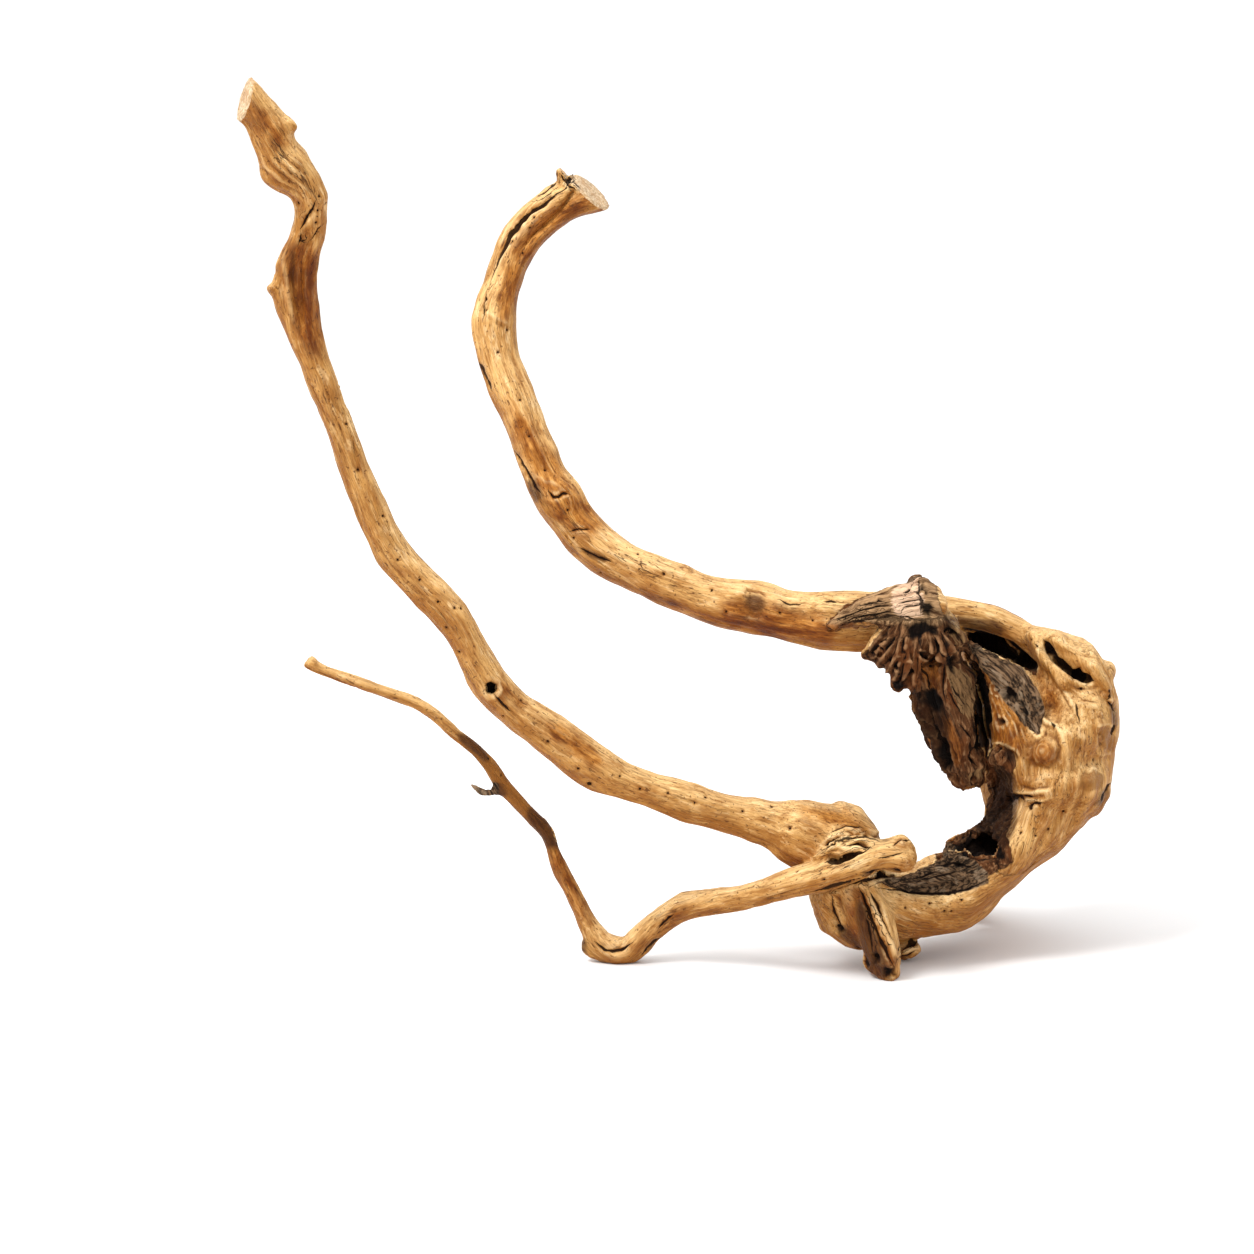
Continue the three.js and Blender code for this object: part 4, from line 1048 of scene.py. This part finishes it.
# Painted shade: what faces down is darker.
surface = finish.blend(finish.value("under"), surface, paint(212, 186, 144), "MULTIPLY")
surface = finish.tint(surface, cloud(1.3, 1), 0.66, 0.74, 0.7, (84, 46, 18))
middle = finish.math("ABSOLUTE", finish.math("SUBTRACT", grain_noise(2.2, 34, 2, 0.55), 0.5))
checked = finish.between(middle, 0.004, 0.016, 1, 0)
checked = finish.math("MULTIPLY", checked, finish.between(grain_noise(7, 38, 2), 0.46, 0.6))
wrinkled = finish.math("MAXIMUM", inside("wrinkled", mottle, 1.5, 1.5), 0.35)
checked = finish.math("MULTIPLY", checked, wrinkled)
surface = finish.lay(checked, surface, (74, 40, 16), 0.85)

# Knots have uneven rings round the scar of a shoot and are darker in the middle.
knot_size = finish.math("MAXIMUM", finish.value("knot_size"), 0.3)
knot_span = finish.math("DIVIDE", span("knot_from"), knot_size)
uneven = finish.math("MULTIPLY", cloud(3, 2), 9.0)
rings = finish.math("SINE", finish.math("MULTIPLY_ADD", knot_span, 11.0, uneven))
on_knot = finish.between(knot_span, 1.2, 0.4)
ringed = finish.math("MULTIPLY", on_knot, finish.between(rings, -0.4, 0.9, 0.0, 0.45))
surface = finish.blend(ringed, surface, paint(124, 74, 30))
surface = finish.lay(on_knot, surface, (156, 100, 46), 0.3)

# The sawn ends show pale, flecked end grain.
FLECK_SIZE = 10 / 9
end_grain = finish.grade(cloud(FLECK_SIZE, 3), 0.35, 0.65, (182, 148, 108), (224, 198, 162))
end_grain = finish.tint(end_grain, cloud(5, 2), 0.48, 0.66, 0.6, (176, 130, 84))
surface = finish.blend(inside("sawn", cloud(2, 2), 0.3, 0.4), surface, end_grain)

# Bark that was left on longest, and damp, stained the wood under it brown or nearly black. The
# same near black is also painted as shade in hollows, beside cracks, on the burl's inner wall
# and under its arm.
frayed = grain_noise(1.6, 9, 3, 0.6)
in_stain_and_shade = inside("stain_and_shade", frayed, 1.6, 1.2)
surface = finish.lay(inside("bark", cloud(3), 1.2, 0.8), surface, (130, 82, 30), 0.7)
stained_and_shaded = finish.math("MULTIPLY", in_stain_and_shade, finish.between(frayed, 0.35, 0.6, 0.94, 0.7))
surface = finish.blend(stained_and_shaded, surface, paint(60, 28, 4))

# Rotted wood is split into brown fibres, russet in places, and dark between them, with painted
# shade black in the grooves and painted highlights on the ridges. It is ash brown on the stub.
# Where the weather has worn it smooth it is pink there, and stone brown on the slab. Painted
# shade darkens it further under the dark stain and shade marks.
SPLIT_SCALE = (620, 500, 70)
split_course = finish.node("ShaderNodeMapping", {"Vector": finish.value("fibre", "Vector"),
                                                 "Scale": SPLIT_SCALE})
splits = finish.node("ShaderNodeTexNoise", {
    "Vector": split_course.outputs[0], "Scale": 1.0, "Detail": 4.0, "Roughness": 0.6,
    "Distortion": 0.5}).outputs["Fac"]
on_stub = finish.value("stub")
rotten_wood = finish.grade(splits, 0.34, 0.5, (24, 12, 6), (88, 54, 30))
rotten_wood = finish.tint(rotten_wood, splits, 0.5, 0.68, 1, (150, 108, 72))
rotten_wood = finish.tint(rotten_wood, cloud(15, 2), 0.46, 0.62, 0.6, (96, 50, 18))
russet = finish.grade(splits, 0.35, 0.65, (84, 42, 14), (150, 92, 40))
rotten_wood = finish.blend(inside("amber", cloud(4, 3), 1.6, 1.2), rotten_wood, russet)
# Painted highlights on the ridges of the fibres.
rotten_wood = finish.tint(rotten_wood, in_groove, -0.1, -0.9, 0.75, (164, 122, 84))
ash = finish.grade(splits, 0.32, 0.6, (66, 40, 20), (176, 138, 98))
rotten_wood = finish.blend(on_stub, rotten_wood, ash)
stone = finish.grade(splits, 0.32, 0.62, (48, 30, 16), (138, 104, 68))
pink = finish.grade(splits, 0.3, 0.58, (120, 80, 54), (232, 194, 160))
worn = finish.blend(on_stub, stone, pink)
rotten_wood = finish.blend(inside("worn", splits, 5.0, 0.6), rotten_wood, worn)
# Painted shade, nearly black, in the grooves between the fibres.
rotten_wood = finish.tint(rotten_wood, in_groove, 0.1, 0.75, 0.97, (10, 5, 3))
# Painted shade, nearly black, under the dark stain and shade marks, such as the inner wall.
rotten_wood = finish.lay(in_stain_and_shade, rotten_wood, (26, 13, 6), 0.75)
rot_share = inside("rot", frayed, 1.4, 0.3)
surface = finish.blend(rot_share, surface, rotten_wood)

# Charred wood is grey with paler streaks, with painted shade black in its dips, and the deep hollows are
# painted black as shade.
charred_wood = finish.grade(grain_noise(0.8, 12, 3, 0.6), 0.38, 0.64, (36, 25, 16), (122, 94, 68))
charred_wood = finish.tint(charred_wood, mottle, 0.52, 0.66, 0.6, (158, 134, 108))
charred_wood = finish.tint(charred_wood, mottle, 0.42, 0.3, 0.8, (16, 9, 5))
charred_wood = finish.tint(charred_wood, in_groove, 0.0, 0.4, 0.9, (10, 6, 4))
char_share = inside("char", frayed, 1.0, 0.3)
surface = finish.blend(char_share, surface, charred_wood)
deep_share = inside("deep", cloud(3, 3), 1.2, 1.0)
surface = finish.lay(deep_share, surface, (6, 3, 2), 0.96)

# Cracks and beetle holes are painted black inside, as shade.
wide = finish.math("SUBTRACT", finish.value("crack_width"),
                   finish.math("ABSOLUTE", finish.value("crack_side")))
wide = finish.math("MULTIPLY_ADD", fine, 0.5, finish.math("SUBTRACT", wide, 0.25))
deep_in = finish.math("SUBTRACT", finish.value("pit_size"), span("pit_from"))
crack_and_hole_shade = finish.math("MAXIMUM", finish.between(wide, -0.12, 0.06), finish.between(deep_in, -0.12, 0.12))
surface = finish.lay(crack_and_hole_shade, surface, (20, 8, 3), 0.9)
finish.feed(finish.shader.inputs["Base Color"], surface)

# Bare wood has a low satin sheen, and the rest is dull. The finest relief is a bump.
dull = finish.math("MAXIMUM", finish.math("MAXIMUM", rot_share, char_share),
                   finish.math("MAXIMUM", deep_share, crack_and_hole_shade))
satin = finish.between(fine, 0.25, 0.75, 0.38, 0.56)
finish.feed(finish.shader.inputs["Roughness"],
            finish.node("ShaderNodeMix", {0: dull, 2: satin, 3: 0.92}).outputs[0])
finish.shader.inputs["Specular IOR Level"].default_value = 0.12
split_height = finish.math("MULTIPLY", splits, finish.math("MULTIPLY_ADD", rot_share, 2.4, 0.1))
height = finish.math("MULTIPLY", lines, 0.8)
for value, share in ((fine, 0.35), (dashes, 0.3), (mottle, 0.6), (split_height, 1.0),
                     (checked, -0.7), (crack_and_hole_shade, -1.0)):
    height = finish.math("ADD", height, finish.math("MULTIPLY", value, share))
BUMP_REACH = 0.0009
bump = finish.node("ShaderNodeBump", {"Height": height, "Distance": BUMP_REACH, "Strength": 1.0})
finish.feed(finish.shader.inputs["Normal"], bump.outputs[0])
wood.data.materials.clear()
wood.data.materials.append(finish.material)
wood.data.shade_smooth()


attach(wood, "root")
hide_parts("moorwood")


# The studio: a plain pale floor under the wood, a wide soft light from the upper left, and
# white all round.
floor_shape = bmesh.new()
bmesh.ops.create_grid(floor_shape, x_segments=1, y_segments=1, size=60)
floor = bpy.data.objects.new("floor", bpy.data.meshes.new("floor"))
floor_shape.to_mesh(floor.data)
floor_shape.free()
bpy.context.scene.collection.objects.link(floor)
pale = Finish("pale_floor")
pale.shader.inputs["Base Color"].default_value = (0.86, 0.86, 0.86, 1)
pale.shader.inputs["Roughness"].default_value = 0.9
pale.shader.inputs["Specular IOR Level"].default_value = 0.0
floor.data.materials.append(pale.material)


HORIZON = 0.68
OVERHEAD = 1.62


def soft_light(name, place, aim, width, power):
    """A square light of that width in metres, at a place and turned to face another."""
    lamp = bpy.data.lights.new(name, "AREA")
    lamp.size, lamp.energy = width, power
    made = bpy.data.objects.new(name, lamp)
    made.location = place
    direction = np.array(aim) - np.array(place)
    made.rotation_euler = (math.atan2(math.hypot(*direction[:2]), -direction[2]), 0,
                           math.atan2(-direction[0], direction[1]))
    bpy.context.scene.collection.objects.link(made)


soft_light("key", (-1.0, -0.9, 1.9), (0.02, 0, 0.18), 0.7, 39)

world = bpy.data.worlds.new("white_room")
world.use_nodes = True
nodes, links = world.node_tree.nodes, world.node_tree.links
upward = nodes.new("ShaderNodeSeparateXYZ")
links.new(nodes.new("ShaderNodeTexCoord").outputs["Generated"], upward.inputs[0])
brighter = nodes.new("ShaderNodeMapRange")
brighter.inputs["To Min"].default_value = HORIZON
brighter.inputs["To Max"].default_value = OVERHEAD
links.new(upward.outputs["Z"], brighter.inputs["Value"])
links.new(brighter.outputs[0], nodes["Background"].inputs["Strength"])
nodes["Background"].inputs["Color"].default_value = (1, 1, 1, 1)
bpy.context.scene.world = world
bpy.context.scene.view_settings.view_transform = "Standard"
